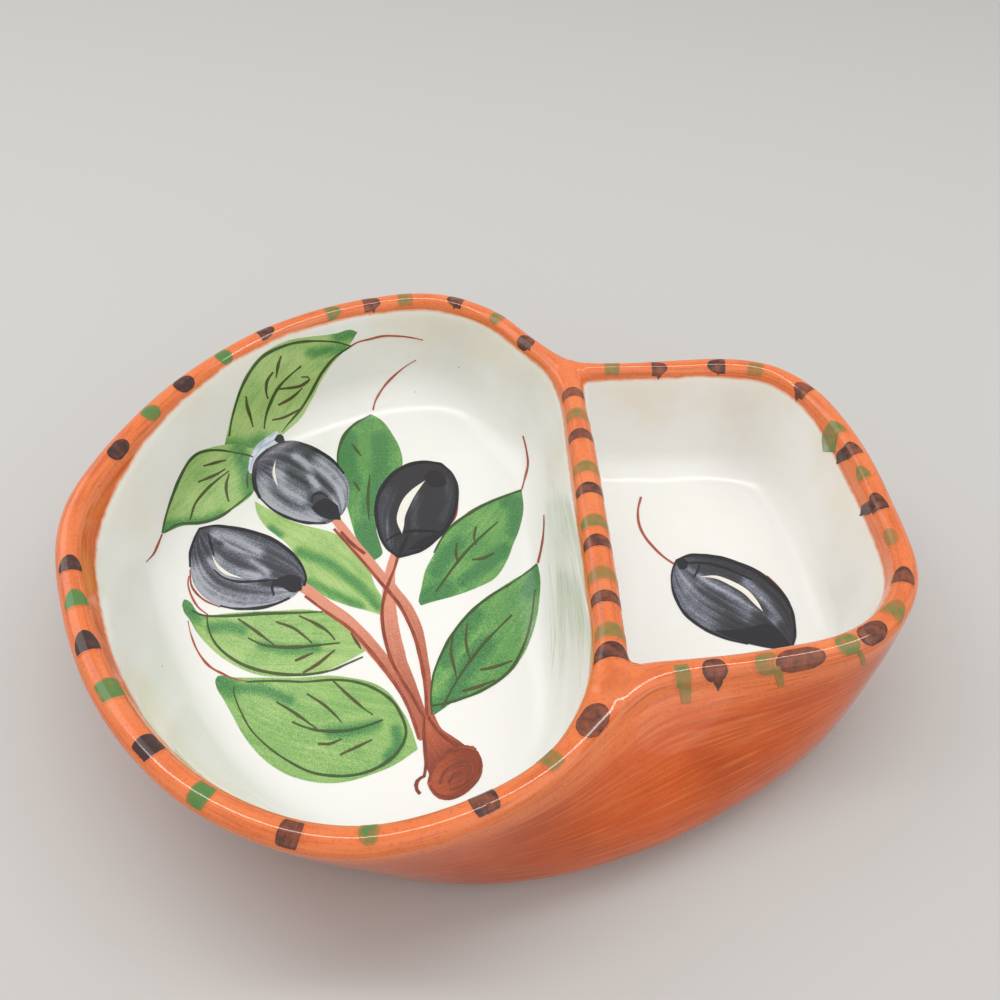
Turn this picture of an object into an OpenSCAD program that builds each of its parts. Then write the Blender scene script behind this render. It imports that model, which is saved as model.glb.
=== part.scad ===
// Divided olive dish: a red clay bowl, pinched in at both ends of a luted divider,
// with a cream slip lining in each well and painted marks under a clear glaze.
// The origin lies under the middle of the rim, with +Z up and the small well toward +X.

/* [Dish] */
// Length over the rim, across both wells
dish_l = 220; // [200:1:240]
// Depth over the rim, at the large well
dish_d = 197; // [180:1:215]
// Height of the rim above the table
dish_h = 45; // [38:1:54]
// Thickness of the wall at the rim
rim_t = 6.8; // [5.5:0.1:8]
// Thickness of the floor
floor_t = 6.5; // [5:0.1:9]

/* [Foot] */
// Length of the lower wall, where it turns under
foot_l = 202; // [185:1:206]
// Depth of the lower wall, where it turns under
foot_d = 176; // [160:1:182]
// Radius of the turn under the wall
foot_r = 10; // [5:0.5:13]
// How far the wall bulges between the rim and the foot
bulge = 0.8; // [0:0.1:2]

/* [Wells] */
// Length of the small well's side, from the divider's middle to the rim's end
small_l = 82; // [74:1:90]
// Depth over the rim, at the small well
small_d = 122.5; // [112:0.5:132]
// How far the small well's middle lies behind the large well's
small_y = 2; // [-4:0.5:6]
// Thickness of the divider at its top
divider_t = 7.9; // [6.5:0.1:9]
// How far the divider's front end leans toward the small well
divider_lean = 3.9; // [0:0.1:7]
// Lean of the well walls from upright, in degrees
wall_lean = 8; // [3:0.5:11]
// Further lean of the large well's wall where the bowl flares most, in degrees
flare_lean = 16; // [12:0.5:18]
// Radius of the bend between the large well's wall and floor
large_bend_r = 15; // [9:0.5:18]
// Radius of the bend between the small well's wall and floor
small_bend_r = 11; // [8:0.5:14]

/* [Slip and paint] */
// Thickness of the cream slip
slip_t = 0.5; // [0.3:0.05:0.8]
// How far the slip stops below the widest line of the rim
slip_drop = 1; // [0.5:0.1:2]
// Thickness of one coat of the painted marks
paint_t = 0.25; // [0.15:0.05:0.4]
// Length of the sprig painted in the large well, measured along the lining
sprig_l = 150; // [120:1:160]
// Width of a brushed dab on the rim
dab_w = 6; // [4:0.1:8]
// Width of a brushed bar on the divider
bar_w = 5.2; // [4:0.1:7]

/* [Hidden] */
// Steps of the outlines between two of their points, and steps over the rim's crown
outline_steps = 3;
crown_steps = 8;

crown_h = rim_t / 2;
crown_z = dish_h - crown_h;
divider_x = dish_l / 2 - small_l;

// Places along each line of the rim, as shares of half its length and depth.
// The large line runs from the front pinch round the left to the back pinch.
large_shares = [
    [0.916, -0.819], [0.778, -0.942], [0.607, -1], [0.384, -0.905], [0.215, -0.7],
    [0.077, -0.395], [0, -0.075], [0.034, 0.211], [0.127, 0.525], [0.293, 0.805],
    [0.5, 0.965], [0.66, 1], [0.8, 0.905], [0.894, 0.736]];
// The small line runs from the back pinch round the right to the front pinch
small_shares = [
    [0.368, 0.975], [0.6, 1], [0.77, 0.95], [0.875, 0.81], [0.97, 0.45], [1, -0.07],
    [0.985, -0.49], [0.83, -0.775], [0.49, -0.93], [0.27, -0.975]];
// The divider's line runs from its back end to its front end
divider_shares = [
    [-0.42, 0.76], [-0.08, 0.37], [0.2, -0.1], [0.43, -0.525], [0.55, -0.83]];
// Middles of the two pinches, in the same frame as the divider's line
pinch_shares = [[-0.875, 0.93], [0.5, -1.06]];
// Corners round each pinch, back then front, as shares of the rim's thickness:
// the waist, the large well's corner, the small well's corner and its two shoulders
corner_shares = [
    [[0.42, 0.77], [-0.84, 0.28], [0.97, -0.34], [1.61, 0.56], [1.68, -0.22]],
    [[0.29, -1.08], [-0.98, -0.14], [0.71, 1.11], [1.26, -0.25], [1.54, 1.13]]];
// The lower wall's line, round the table side from the front
foot_shares = [
    [-0.03, -1.015], [-0.3, -0.965], [-0.565, -0.825], [-0.785, -0.55], [-0.975, -0.09],
    [-0.95, 0.38], [-0.69, 0.87], [-0.25, 1.06], [0.15, 0.99], [0.5, 0.87], [0.9, 0.64],
    [1.025, 0.12], [1.005, -0.39], [0.85, -0.61], [0.67, -0.755], [0.297, -0.955]];
// Middles of the two wells, as shares of the half lengths of their lines
large_mid_share = [0.52, 0.01];
small_mid_share = [0.49, 0];

function lerp(a, b, t) = a + (b - a) * t;
function rise(p, z) = [p.x, p.y, z];
function last(list) = list[len(list) - 1];
function reversed(list) = [for (i = [len(list) - 1:-1:0]) list[i]];

// Smooth closed curve through a list of points
function tangent(p, i) =
    let (n = len(p), b = p[i % n], a = p[(i + n - 1) % n], c = p[(i + 1) % n])
    let (u = norm(b - a), v = norm(c - b))
    ((b - a) / u * v + (c - b) / v * u) / (u + v);
function curve_point(p, i, t) =
    let (a = p[i], b = p[(i + 1) % len(p)], d = norm(b - a))
    a * (2 * t ^ 3 - 3 * t ^ 2 + 1) + b * (3 * t ^ 2 - 2 * t ^ 3)
    + tangent(p, i) * d * (t ^ 3 - 2 * t ^ 2 + t) + tangent(p, i + 1) * d * (t ^ 3 - t ^ 2);
function closed_curve(p, steps) =
    [for (i = [0:len(p) - 1], k = [0:steps - 1]) curve_point(p, i, k / steps)];

// Distance from the middle to a closed clockwise curve, along a direction
function reach_along(curve, d) =
    [for (i = [0:len(curve) - 1])
        let (a = curve[i], b = curve[(i + 1) % len(curve)])
        if (cross(d, a) >= 0 && cross(d, b) < 0 && d * a > 0) cross(a, b) / cross(d, b - a)][0];

// Points set off sideways from an open line, positive to the left of travel
function beside(line, offset) =
    [for (i = [0:len(line) - 1])
        let (a = line[max(i - 1, 0)], b = line[min(i + 1, len(line) - 1)])
        let (d = (b - a) / norm(b - a))
        line[i] + [-d.y, d.x] * offset];

// The rim's three lines in plan
large_half = [divider_x + dish_l / 2 - rim_t / 2, (dish_d - rim_t) / 2];
small_half = [small_l - rim_t / 2, (small_d - rim_t) / 2];
large_line = [for (s = large_shares)
    [rim_t / 2 - dish_l / 2 + s.x * large_half.x, s.y * large_half.y]];
small_line = [for (s = small_shares)
    [divider_x + s.x * small_half.x, small_y + s.y * small_half.y]];
function divider_place(s) = [divider_x + s.x * divider_lean, small_y + s.y * small_half.y];
divider_line = [for (s = divider_shares) divider_place(s)];
back_corners = [for (s = corner_shares[0]) divider_place(pinch_shares[0]) + s * rim_t];
front_corners = [for (s = corner_shares[1]) divider_place(pinch_shares[1]) + s * rim_t];

// Outer edge of the rim and the two mouths, each a closed curve with matching stations
outer_points = concat(
    [front_corners[0]], beside(large_line, rim_t / 2),
    [back_corners[0], back_corners[3]], beside(small_line, rim_t / 2), [front_corners[3]]);
large_points = concat(
    [front_corners[1]], beside(large_line, -rim_t / 2),
    [back_corners[1]], beside(divider_line, -divider_t / 2));
small_points = concat(
    [back_corners[2], back_corners[4]], beside(small_line, -rim_t / 2),
    [front_corners[4], front_corners[2]], reversed(beside(divider_line, divider_t / 2)));
raw_outer = closed_curve(outer_points, outline_steps);

// The origin goes under the middle of the rim
rim_x = [for (p = raw_outer) p.x];
rim_y = [for (p = raw_outer) p.y];
rim_mid = [min(rim_x) + max(rim_x), min(rim_y) + max(rim_y)] / 2;
function centred(list) = [for (p = list) p - rim_mid];
outer_rim = centred(raw_outer);
large_mouth = centred(closed_curve(large_points, outline_steps));
small_mouth = centred(closed_curve(small_points, outline_steps));
large_mid = [rim_t / 2 - dish_l / 2, 0] - rim_mid
    + [large_mid_share.x * large_half.x, large_mid_share.y * large_half.y];
small_mid = [divider_x, small_y] - rim_mid
    + [small_mid_share.x * small_half.x, small_mid_share.y * small_half.y];

// Counts of stations round the large line, the small line and the divider
large_n = (len(large_line) + 1) * outline_steps;
small_n = (len(small_line) + 3) * outline_steps;
divider_n = (len(divider_line) + 1) * outline_steps;
large_count = len(large_mouth);
small_count = len(small_mouth);
outer_count = len(outer_rim);

// Rows down a well: over the upright wall, round the bend and across the floor
upright_rows = 2;
bend_rows = 5;
floor_shares = [0.7, 0.35];
joint_row = upright_rows;

// A well's section, from its floor's edge: length of the bend, of the wall, and reach.
// Each well has a bend: its radius, and how much further its wall leans in the flare.
wall_rise = crown_z - floor_t;
large_bend = [large_bend_r, flare_lean];
small_bend = [small_bend_r, 0];
flare_turn = 233;
flare_way = [cos(flare_turn), sin(flare_turn)];
flare_spread = 1.5;
function lean_at(bend, d) = wall_lean + bend[1] * max(0, d * flare_way) ^ flare_spread;
function bend_len(r, lean) = r * (90 - lean) * PI / 180;
function wall_len(r, lean) = (wall_rise - r * (1 - sin(lean))) / cos(lean);
function reach(r, lean) = r * cos(lean) + wall_len(r, lean) * sin(lean);

// Point of the section at a length along it: distance out, height and inward normal
function section_at(r, lean, a) =
    a <= 0 ? [a, 0, 0, 1] :
    a < bend_len(r, lean) ?
        let (g = a / r * 180 / PI)
        [r * sin(g), r * (1 - cos(g)), -sin(g), cos(g)] :
        let (s = a - bend_len(r, lean))
        [r * cos(lean) + s * sin(lean), r * (1 - sin(lean)) + s * cos(lean),
         -cos(lean), sin(lean)];
function row_length(r, lean, k) =
    k <= upright_rows ?
        bend_len(r, lean) + wall_len(r, lean) * (1 - k / upright_rows) :
        bend_len(r, lean) * (1 - (k - upright_rows) / bend_rows);

// Point on a well's surface in one row below a point of its mouth, lifted off the clay
function well_point(mouth, mid, bend, k, drop, lift) =
    let (v = mouth - mid, d = v / norm(v), lean = lean_at(bend, d))
    let (s = section_at(bend[0], lean, row_length(bend[0], lean, k) - drop))
    let (p = mid + d * (norm(v) - reach(bend[0], lean) + s[0] + s[2] * lift))
    rise(p, floor_t + s[1] + s[3] * lift);
function floor_point(mouth, mid, bend, share, lift) =
    let (v = mouth - mid, d = v / norm(v))
    rise(mid + d * (norm(v) - reach(bend[0], lean_at(bend, d))) * share, floor_t + lift);
// All points of a well, row by row from its mouth to its middle
function well_points(mouth, mid, bend, drop, lift) = concat(
    [for (k = [0:upright_rows + bend_rows], p = mouth)
        well_point(p, mid, bend, k, k == 0 ? drop : 0, lift)],
    [for (share = floor_shares, p = mouth) floor_point(p, mid, bend, share, lift)],
    [rise(mid, floor_t + lift)]);
well_rows = upright_rows + bend_rows + 1 + len(floor_shares);

// Outer wall: from the rim down to the foot, round the turn and onto the table
outer_rows = 4;
turn_rows = 3;
foot_line = closed_curve([for (s = foot_shares) [s.x * foot_l, s.y * foot_d] / 2], outline_steps);
// How full the wall's curve is where the foot stands out past the rim
swell_share = 0.25;
function foot_edge(d) = d * reach_along(foot_line, d);
function outer_point(p, t) =
    let (d = p / norm(p), foot = foot_edge(d))
    let (swell = bulge + max(norm(foot) - norm(p), 0) * swell_share)
    rise(lerp(p, foot, t) + d * swell * 4 * t * (1 - t), lerp(crown_z, foot_r, t));
function turn_point(p, g) =
    let (d = p / norm(p))
    rise(foot_edge(d) - d * foot_r * (1 - cos(g)), foot_r * (1 - sin(g)));
wall_points = concat(
    [for (k = [0:outer_rows], p = outer_rim) outer_point(p, k / outer_rows)],
    [for (k = [1:turn_rows], p = outer_rim) turn_point(p, 90 * k / turn_rows)]);
wall_rows = outer_rows + turn_rows + 1;

// Point on the crown between two edge points, lifted off the clay
function crown_point(a, b, g, lift) =
    let (m = (a + b) / 2, h = (a - b) / 2, w = norm(h))
    rise(m + h * cos(g) * (1 + lift / w), crown_z + (crown_h + lift) * sin(g));
function crown_points(outer, inner) =
    [for (k = [1:crown_steps - 1], i = [0:len(outer) - 1])
        crown_point(outer[i], inner[i], 180 * k / crown_steps, 0)];

// The three crowns: matching stations of their two edges
function stations(list, from, count) =
    [for (i = [0:count]) list[(from + i + len(list)) % len(list)]];
large_crown = [stations(outer_rim, 0, large_n), stations(large_mouth, 0, large_n)];
small_crown = [stations(outer_rim, large_n, small_n), stations(small_mouth, 0, small_n)];
divider_crown = [
    stations(large_mouth, large_n, divider_n), reversed(stations(small_mouth, small_n, divider_n))];

// Index of a point in a block that starts at one number and has rows of a length
function row(start, length, k, from, count) =
    [for (i = [0:count]) start + k * length + (from + i + length) % length];
// Triangles between two rows, facing the reader's right when the first row runs away
function strip(a, b) = [for (i = [0:len(a) - 2]) each [
    [a[i], a[i + 1], b[i]], [a[i + 1], b[i + 1], b[i]]]];
function flipped(faces) = [for (f = faces) reversed(f)];

// Faces of one well's surface, whole or without its wall along the divider
function well_faces(start, length, first) = concat(
    [for (k = [first:well_rows - 2])
        each strip(row(start, length, k, 0, length), row(start, length, k + 1, 0, length))],
    [for (i = [0:length - 1]) [
        start + (well_rows - 1) * length + i,
        start + (well_rows - 1) * length + (i + 1) % length,
        start + well_rows * length]]);
function part_wall_faces(start, length, from, count) =
    [for (k = [0:joint_row - 1])
        each strip(row(start, length, k, from, count), row(start, length, k + 1, from, count))];

// Numbered point blocks shared by the bowl and the divider
o_start = 0;
l_start = len(wall_points);
l_block = well_points(large_mouth, large_mid, large_bend, 0, 0);
s_start = l_start + len(l_block);
s_block = well_points(small_mouth, small_mid, small_bend, 0, 0);
ca_start = s_start + len(s_block);
ca_block = crown_points(large_crown[0], large_crown[1]);
cb_start = ca_start + len(ca_block);
cb_block = crown_points(small_crown[0], small_crown[1]);
cd_start = cb_start + len(cb_block);
cd_block = crown_points(divider_crown[0], divider_crown[1]);
y_start = cd_start + len(cd_block);

// Whole line of numbers over the crown at one station, from edge to edge
function section_numbers(first, start, length, i, end) = concat(
    [first], [for (k = [0:crown_steps - 2]) start + k * length + i], [end]);
function large_section(i) = section_numbers(
    o_start + i, ca_start, large_n + 1, i, l_start + i);
function small_section(i) = section_numbers(
    o_start + (large_n + i) % outer_count, cb_start, small_n + 1, i, s_start + i);
function divider_section(i) = section_numbers(
    l_start + (large_n + i) % large_count, cd_start, divider_n + 1, i,
    s_start + (small_count - i) % small_count);
function loft(sections) = [for (i = [0:len(sections) - 2]) each strip(sections[i], sections[i + 1])];

// Each pinch joins the three crowns with three patches that meet at its middle
half_steps = crown_steps / 2;
inner_steps = half_steps - 1;
function pinch_mid(a, b, c) = rise((a + b + c) / 3, dish_h);
function pinch_line(p, mid, t) = lerp(rise(p, dish_h), mid, t / half_steps);
function pinch_patch(c, s1, s2, mid) =
    let (m1 = s1[half_steps], m2 = s2[half_steps])
    [for (i = [1:inner_steps], j = [1:inner_steps])
        let (u = i / half_steps, v = j / half_steps)
        lerp(s1[i], lerp(m2, mid, u), v) + lerp(s2[j], lerp(m1, mid, v), u)
            - lerp(lerp(c, m1, u), lerp(m2, mid, u), v)];
function crown_line(a, b) = [for (k = [0:half_steps]) crown_point(a, b, 180 * k / crown_steps, 0)];
function pinch_points(o, l, s) =
    let (mid = pinch_mid((o + l) / 2, (o + s) / 2, (l + s) / 2))
    concat([mid],
        [for (pair = [[o, l], [o, s], [l, s]], t = [1:inner_steps])
            pinch_line((pair[0] + pair[1]) / 2, mid, t)],
        pinch_patch(rise(o, crown_z), crown_line(o, l), crown_line(o, s), mid),
        pinch_patch(rise(l, crown_z), crown_line(l, s), crown_line(l, o), mid),
        pinch_patch(rise(s, crown_z), crown_line(s, o), crown_line(s, l), mid));
back_pinch = pinch_points(outer_rim[large_n], large_mouth[large_n], small_mouth[0]);
front_pinch = pinch_points(outer_rim[0], large_mouth[0], small_mouth[small_n]);

// Number at place i, j of a pinch's patch, with its two sides and two inner lines
function patch_number(start, x, i, j, s1, s2, x1, x2) =
    j == 0 ? s1[i] :
    i == 0 ? s2[j] :
    i == half_steps && j == half_steps ? start :
    i == half_steps ? start + x1 * inner_steps + j :
    j == half_steps ? start + x2 * inner_steps + i :
    start + 1 + 3 * inner_steps + x * inner_steps ^ 2 + (i - 1) * inner_steps + j - 1;
function patch_faces(start, x, s1, s2, x1, x2) =
    loft([for (i = [0:half_steps])
        [for (j = [0:half_steps]) patch_number(start, x, i, j, s1, s2, x1, x2)]]);
function pinch_faces(start, a, b, c) = concat(
    patch_faces(start, 0, a, b, 0, 1),
    patch_faces(start, 1, c, reversed(a), 2, 0),
    patch_faces(start, 2, reversed(b), reversed(c), 1, 2));

clay_points = concat(
    wall_points, l_block, s_block, ca_block, cb_block, cd_block, back_pinch, front_pinch);

// The divider's ends and underside, each shared face to face with the bowl
function divider_side(start, length, station) =
    [for (k = [joint_row:-1:0]) start + k * length + station];
function end_faces(i) =
    let (over = divider_section(i))
    let (l = concat(divider_side(l_start, large_count, (large_n + i) % large_count),
        [for (k = [1:inner_steps]) over[k]]))
    let (s = concat(
        divider_side(s_start, small_count, (small_count - i) % small_count),
        [for (k = [1:inner_steps]) over[crown_steps - k]]))
    concat(strip(l, s), [[last(l), over[half_steps], last(s)]]);
under_faces = strip(
    row(l_start, large_count, joint_row, large_n, divider_n),
    reversed(row(s_start, small_count, joint_row, small_n, divider_n)));
function divider_ring(i) =
    let (l = divider_side(l_start, large_count, (large_n + i) % large_count))
    let (s = divider_side(s_start, small_count, (small_count - i) % small_count))
    concat([for (k = [0:joint_row - 1]) l[k]], divider_section(i),
        [for (k = [joint_row - 1:-1:0]) s[k]]);

bowl_faces = concat(
    [for (k = [0:wall_rows - 2])
        each strip(row(o_start, outer_count, k + 1, 0, outer_count),
            row(o_start, outer_count, k, 0, outer_count))],
    [reversed(row(o_start, outer_count, wall_rows - 1, 0, outer_count - 1))],
    flipped(loft([for (i = [0:large_n]) large_section(i)])),
    flipped(loft([for (i = [0:small_n]) small_section(i)])),
    pinch_faces(y_start, large_section(large_n), small_section(0), divider_section(0)),
    flipped(pinch_faces(y_start + len(back_pinch),
        large_section(0), small_section(small_n), divider_section(divider_n))),
    part_wall_faces(l_start, large_count, 0, large_n),
    part_wall_faces(s_start, small_count, 0, small_n),
    well_faces(l_start, large_count, joint_row),
    well_faces(s_start, small_count, joint_row),
    end_faces(0), flipped(end_faces(divider_n)),
    flipped(under_faces));
divider_faces = concat(
    loft([for (i = [0:divider_n]) divider_ring(i)]),
    flipped(end_faces(0)), end_faces(divider_n), under_faces);

// A slip lining: the clay's own surface behind, the same surface lifted in front
module lining(mouth, mid, bend) {
    back = well_points(mouth, mid, bend, slip_drop, 0);
    front = well_points(mouth, mid, bend, slip_drop, slip_t);
    count = len(mouth);
    polyhedron(
        concat(front, back),
        concat(
            well_faces(0, count, 0),
            flipped(well_faces(len(front), count, 0)),
            strip(row(len(front), count, 0, 0, count), row(0, count, 0, 0, count))));
}

// The two wells: mouth seen from the middle, the middle, and the bend
wells = [
    [[for (p = large_mouth) p - large_mid], large_mid, large_bend],
    [[for (p = small_mouth) p - small_mid], small_mid, small_bend]];
// Point of a lining at a place measured along it from the well's middle, lifted off the clay
function draped(well, q, lift) =
    let (d = q / norm(q), r = well[2][0], lean = lean_at(well[2], d))
    let (edge = reach_along(well[0], d) - reach(r, lean))
    let (s = section_at(r, lean, norm(q) - edge))
    rise(well[1] + d * (edge + s[0] + s[2] * lift), floor_t + s[1] + s[3] * lift);

// A thin solid over a grid of rows, each row to the right of the one before
module plate(top, bottom) {
    rows = len(top);
    steps = len(top[0]);
    faces = loft([for (k = [0:rows - 1]) [for (i = [0:steps - 1]) k * steps + i]]);
    rim = concat(
        [for (i = [0:steps - 1]) i], [for (k = [1:rows - 1]) k * steps + steps - 1],
        [for (i = [steps - 2:-1:0]) (rows - 1) * steps + i], [for (k = [rows - 2:-1:0]) k * steps]);
    polyhedron(
        concat([for (r = top) each r], [for (r = bottom) each r]),
        concat(faces, flipped([for (f = faces) f + rows * steps * [1, 1, 1]]),
            strip([for (i = rim) i + rows * steps], rim)));
}

// A brush shape between two ends: its bow, half width, and how round its ends are
leaf_round = 1;
olive_round = 0.5;
blade_steps = 8;
blade_min_share = 0.07;
function blade_point(a, b, bow, half, ends, v, u) =
    let (d = (b - a) / norm(b - a), w = max((1 - (2 * u - 1) ^ 2) ^ ends, blade_min_share))
    lerp(a, b, u) + [-d.y, d.x] * (bow * 4 * u * (1 - u) + v * half * w);
function blade_rows(well, a, b, bow, half, ends, lift) =
    [for (v = [1, 0, -1])
        [for (k = [0:blade_steps])
            draped(well, blade_point(a, b, bow, half, ends, v, k / blade_steps), lift)]];
module blade(well, a, b, bow, half, ends, layer) {
    base = slip_t + layer * paint_t;
    plate(blade_rows(well, a, b, bow, half, ends, base + paint_t),
        blade_rows(well, a, b, bow, half, ends, base));
}

// A brush line through a few points, with a half width at each end
function line_way(p, i) =
    let (a = p[max(i - 1, 0)], b = p[min(i + 1, len(p) - 1)]) (b - a) / norm(b - a);
function line_point(p, i, t) =
    let (a = p[i], b = p[i + 1], d = norm(b - a))
    a * (2 * t ^ 3 - 3 * t ^ 2 + 1) + b * (3 * t ^ 2 - 2 * t ^ 3)
    + line_way(p, i) * d * (t ^ 3 - 2 * t ^ 2 + t) + line_way(p, i + 1) * d * (t ^ 3 - t ^ 2);
line_steps = 4;
function open_curve(p) = concat(
    [for (i = [0:len(p) - 2], k = [0:line_steps - 1]) line_point(p, i, k / line_steps)], [last(p)]);
function line_rows(well, p, w, lift) =
    let (c = open_curve(p))
    [for (v = [1, -1])
        [for (i = [0:len(c) - 1])
            let (d = line_way(c, i), half = lerp(w[0], w[1], i / (len(c) - 1)))
            draped(well, c[i] + [-d.y, d.x] * v * half, lift)]];
module brush_line(well, p, w, layer) {
    base = slip_t + layer * paint_t;
    plate(line_rows(well, p, w, base + paint_t), line_rows(well, p, w, base));
}

// Places in the sprig, as shares of half its length: each leaf has its stalk end, its tip,
// its bow and its half width
leaf_shares = [
    [[-0.655, 0.69], [-0.125, 1.405], 0.1, 0.145],
    [[-0.45, 0.7], [-0.82, 0.165], -0.07, 0.135],
    [[0.055, 0.11], [-0.04, 1.0], 0.02, 0.14],
    [[-0.475, 0.385], [0.12, -0.165], -0.015, 0.11],
    [[0.25, -0.115], [0.655, 0.51], -0.025, 0.16],
    [[0.32, -0.595], [0.73, 0.04], 0, 0.16],
    [[0.08, -0.33], [-0.68, -0.13], 0.075, 0.127],
    [[0.277, -0.75], [-0.457, -0.48], 0.025, 0.18]];
// Each olive has its middle, its half length and half width, and its turn in degrees
olive_shares = [
    [[-0.458, 0.08], 0.275, 0.165, -30],
    [[-0.307, 0.547], 0.265, 0.205, -57],
    [[0.22, 0.42], 0.29, 0.161, 76]];
small_olive_share = [[0.083, -0.1], 0.283, 0.18, -46];
// Each stem has its points from olive to trunk, its half widths and its layer
stem_shares = [
    [[[-0.2, -0.02], [-0.03, -0.19], [0.18, -0.46], [0.27, -0.555]], [0.015, 0.04], 1],
    [[[-0.14, 0.33], [0.1, 0.005], [0.24, -0.28], [0.312, -0.58]], [0.012, 0.03], 2],
    [[[0.14, 0.13], [0.13, -0.19], [0.215, -0.46], [0.305, -0.6]], [0.012, 0.03], 3],
    [[[0.3, -0.57], [0.335, -0.68], [0.38, -0.81]], [0.03, 0.06], 0]];
// The cut end of the trunk: its two ends and its half width
stub_share = [[0.315, -0.895], [0.5, -0.775], 0.095];
tendril_shares = [
    [[-0.18, 1.333], [0.005, 1.397], [0.215, 1.395]],
    [[-0.035, 1.02], [0.065, 1.21], [0.157, 1.28]],
    [[0.66, 0.53], [0.688, 0.668], [0.684, 0.787]],
    [[0.735, 0.06], [0.743, 0.17], [0.77, 0.293]],
    [[-0.825, 0.155], [-0.84, 0.06], [-0.875, -0.02]]];
small_tendril_shares = [[-0.12, 0.11], [-0.221, 0.22], [-0.235, 0.363], [-0.212, 0.465]];
tendril_w_share = 0.007;

module olive(well, s) {
    half = sprig_l / 2;
    way = [cos(s[3]), sin(s[3])] * s[1] * half;
    blade(well, s[0] * half - way, s[0] * half + way, 0, s[2] * half, olive_round, 1);
}

module tendril(well, points, layer) {
    half = sprig_l / 2;
    brush_line(well, points * half, [1, 1] * tendril_w_share * half, layer);
}

// Brush dabs over the rim: a place along the line, and the turns over the crown,
// in degrees from the outer edge to the inner, between which each one lies
dark_large_shares = [0.023, 0.121, 0.224, 0.304, 0.373, 0.425, 0.525, 0.592, 0.657, 0.734, 0.826, 0.933];
green_large_shares = [0.071, 0.188, 0.267, 0.344, 0.401, 0.561, 0.625, 0.706, 0.769, 0.881];
dark_small_shares = [0.142, 0.217, 0.39, 0.483, 0.537, 0.622, 0.7, 0.754, 0.832];
green_small_shares = [0.089, 0.28, 0.458, 0.512, 0.575, 0.666, 0.721, 0.778, 0.877];
dark_divider_shares = [0.187, 0.329, 0.466, 0.592, 0.732, 0.907];
green_divider_shares = [0.264, 0.403, 0.529, 0.665, 0.82];
dab_rows = 4;
dab_taper_share = 0.5;
function on_crown(pair, share, g, lift) =
    let (n = len(pair[0]) - 1, t = min(max(share, 0), 1) * n, i = min(floor(t), n - 1))
    crown_point(lerp(pair[0][i], pair[0][i + 1], t - i), lerp(pair[1][i], pair[1][i + 1], t - i),
        g, lift);
function crown_pace(pair, share) =
    let (n = len(pair[0]) - 1, i = min(floor(share * n), n - 1))
    norm(pair[0][i + 1] + pair[1][i + 1] - pair[0][i] - pair[1][i]) / 2 * n;
function dab_grid(pair, share, w, turns, lift, sides) =
    let (half = w / 2 / crown_pace(pair, share))
    [for (v = sides)
        [for (k = [0:dab_rows])
            let (u = k / dab_rows, full = 1 - dab_taper_share * (2 * u - 1) ^ 2)
            on_crown(pair, share + v * half * full, lerp(turns[0], turns[1], u), lift)]];
module dabs(pair, shares, w, turns, sides) {
    for (s = shares)
        plate(dab_grid(pair, s, w, turns, paint_t, sides), dab_grid(pair, s, w, turns, 0, sides));
}
rim_turns = [35, 140];
divider_turns = [25, 155];
clockwise_sides = [1, 0, -1];
down_sides = [-1, 0, 1];

// Press-moulded red clay bowl, pinched in at both ends of the divider
module bowl() {
    color("#C4612F") polyhedron(clay_points, bowl_faces);
}

// Clay wall luted in between the two pinches
module divider() {
    color("#CC6A35") polyhedron(clay_points, divider_faces);
}

// Cream slip over the large well
module large_well_slip() {
    color("#E8E3D2") lining(large_mouth, large_mid, large_bend);
}

// Cream slip over the small well
module small_well_slip() {
    color("#EDE8D8") lining(small_mouth, small_mid, small_bend);
}

// Dark brushed dabs over the rims of both wells
module rim_dark_dabs() {
    color("#2E1D1C") {
        dabs(large_crown, dark_large_shares, dab_w, rim_turns, clockwise_sides);
        dabs(small_crown, dark_small_shares, dab_w, rim_turns, clockwise_sides);
    }
}

// Green brushed dabs over the rims of both wells
module rim_green_dabs() {
    color("#4E7A2C") {
        dabs(large_crown, green_large_shares, dab_w, rim_turns, clockwise_sides);
        dabs(small_crown, green_small_shares, dab_w, rim_turns, clockwise_sides);
    }
}

// Dark bars over the divider
module divider_dark_dabs() {
    color("#33211D") dabs(divider_crown, dark_divider_shares, bar_w, divider_turns, down_sides);
}

// Green bars over the divider
module divider_green_dabs() {
    color("#5A7A2C") dabs(divider_crown, green_divider_shares, bar_w, divider_turns, down_sides);
}

// Leaves painted in the large well
module large_well_leaves() {
    color("#5FA33C")
        for (s = leaf_shares)
            blade(wells[0], s[0] * sprig_l / 2, s[1] * sprig_l / 2,
                s[2] * sprig_l / 2, s[3] * sprig_l / 2, leaf_round, 0);
}

// Stems and cut trunk of the painted sprig
module large_well_stems() {
    color("#B5552F") {
        for (s = stem_shares)
            brush_line(wells[0], s[0] * sprig_l / 2, s[1] * sprig_l / 2, s[2]);
        blade(wells[0], stub_share[0] * sprig_l / 2, stub_share[1] * sprig_l / 2,
            0, stub_share[2] * sprig_l / 2, olive_round, 1);
    }
}

// Olives painted in the large well
module large_well_olives() {
    color("#26262C") for (s = olive_shares) olive(wells[0], s);
}

// Fine tendrils at the tips of the leaves
module large_well_tendrils() {
    color("#8C3F28") for (s = tendril_shares) tendril(wells[0], s, 0);
}

// Olive painted in the small well
module small_well_olive() {
    color("#26262C") olive(wells[1], small_olive_share);
}

// Fine stalk of the small well's olive
module small_well_tendril() {
    color("#8C3F28") tendril(wells[1], small_tendril_shares, 0);
}

bowl();
divider();
large_well_slip();
small_well_slip();
rim_dark_dabs();
rim_green_dabs();
divider_dark_dabs();
divider_green_dabs();
large_well_leaves();
large_well_stems();
large_well_olives();
large_well_tendrils();
small_well_olive();
small_well_tendril();
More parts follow.
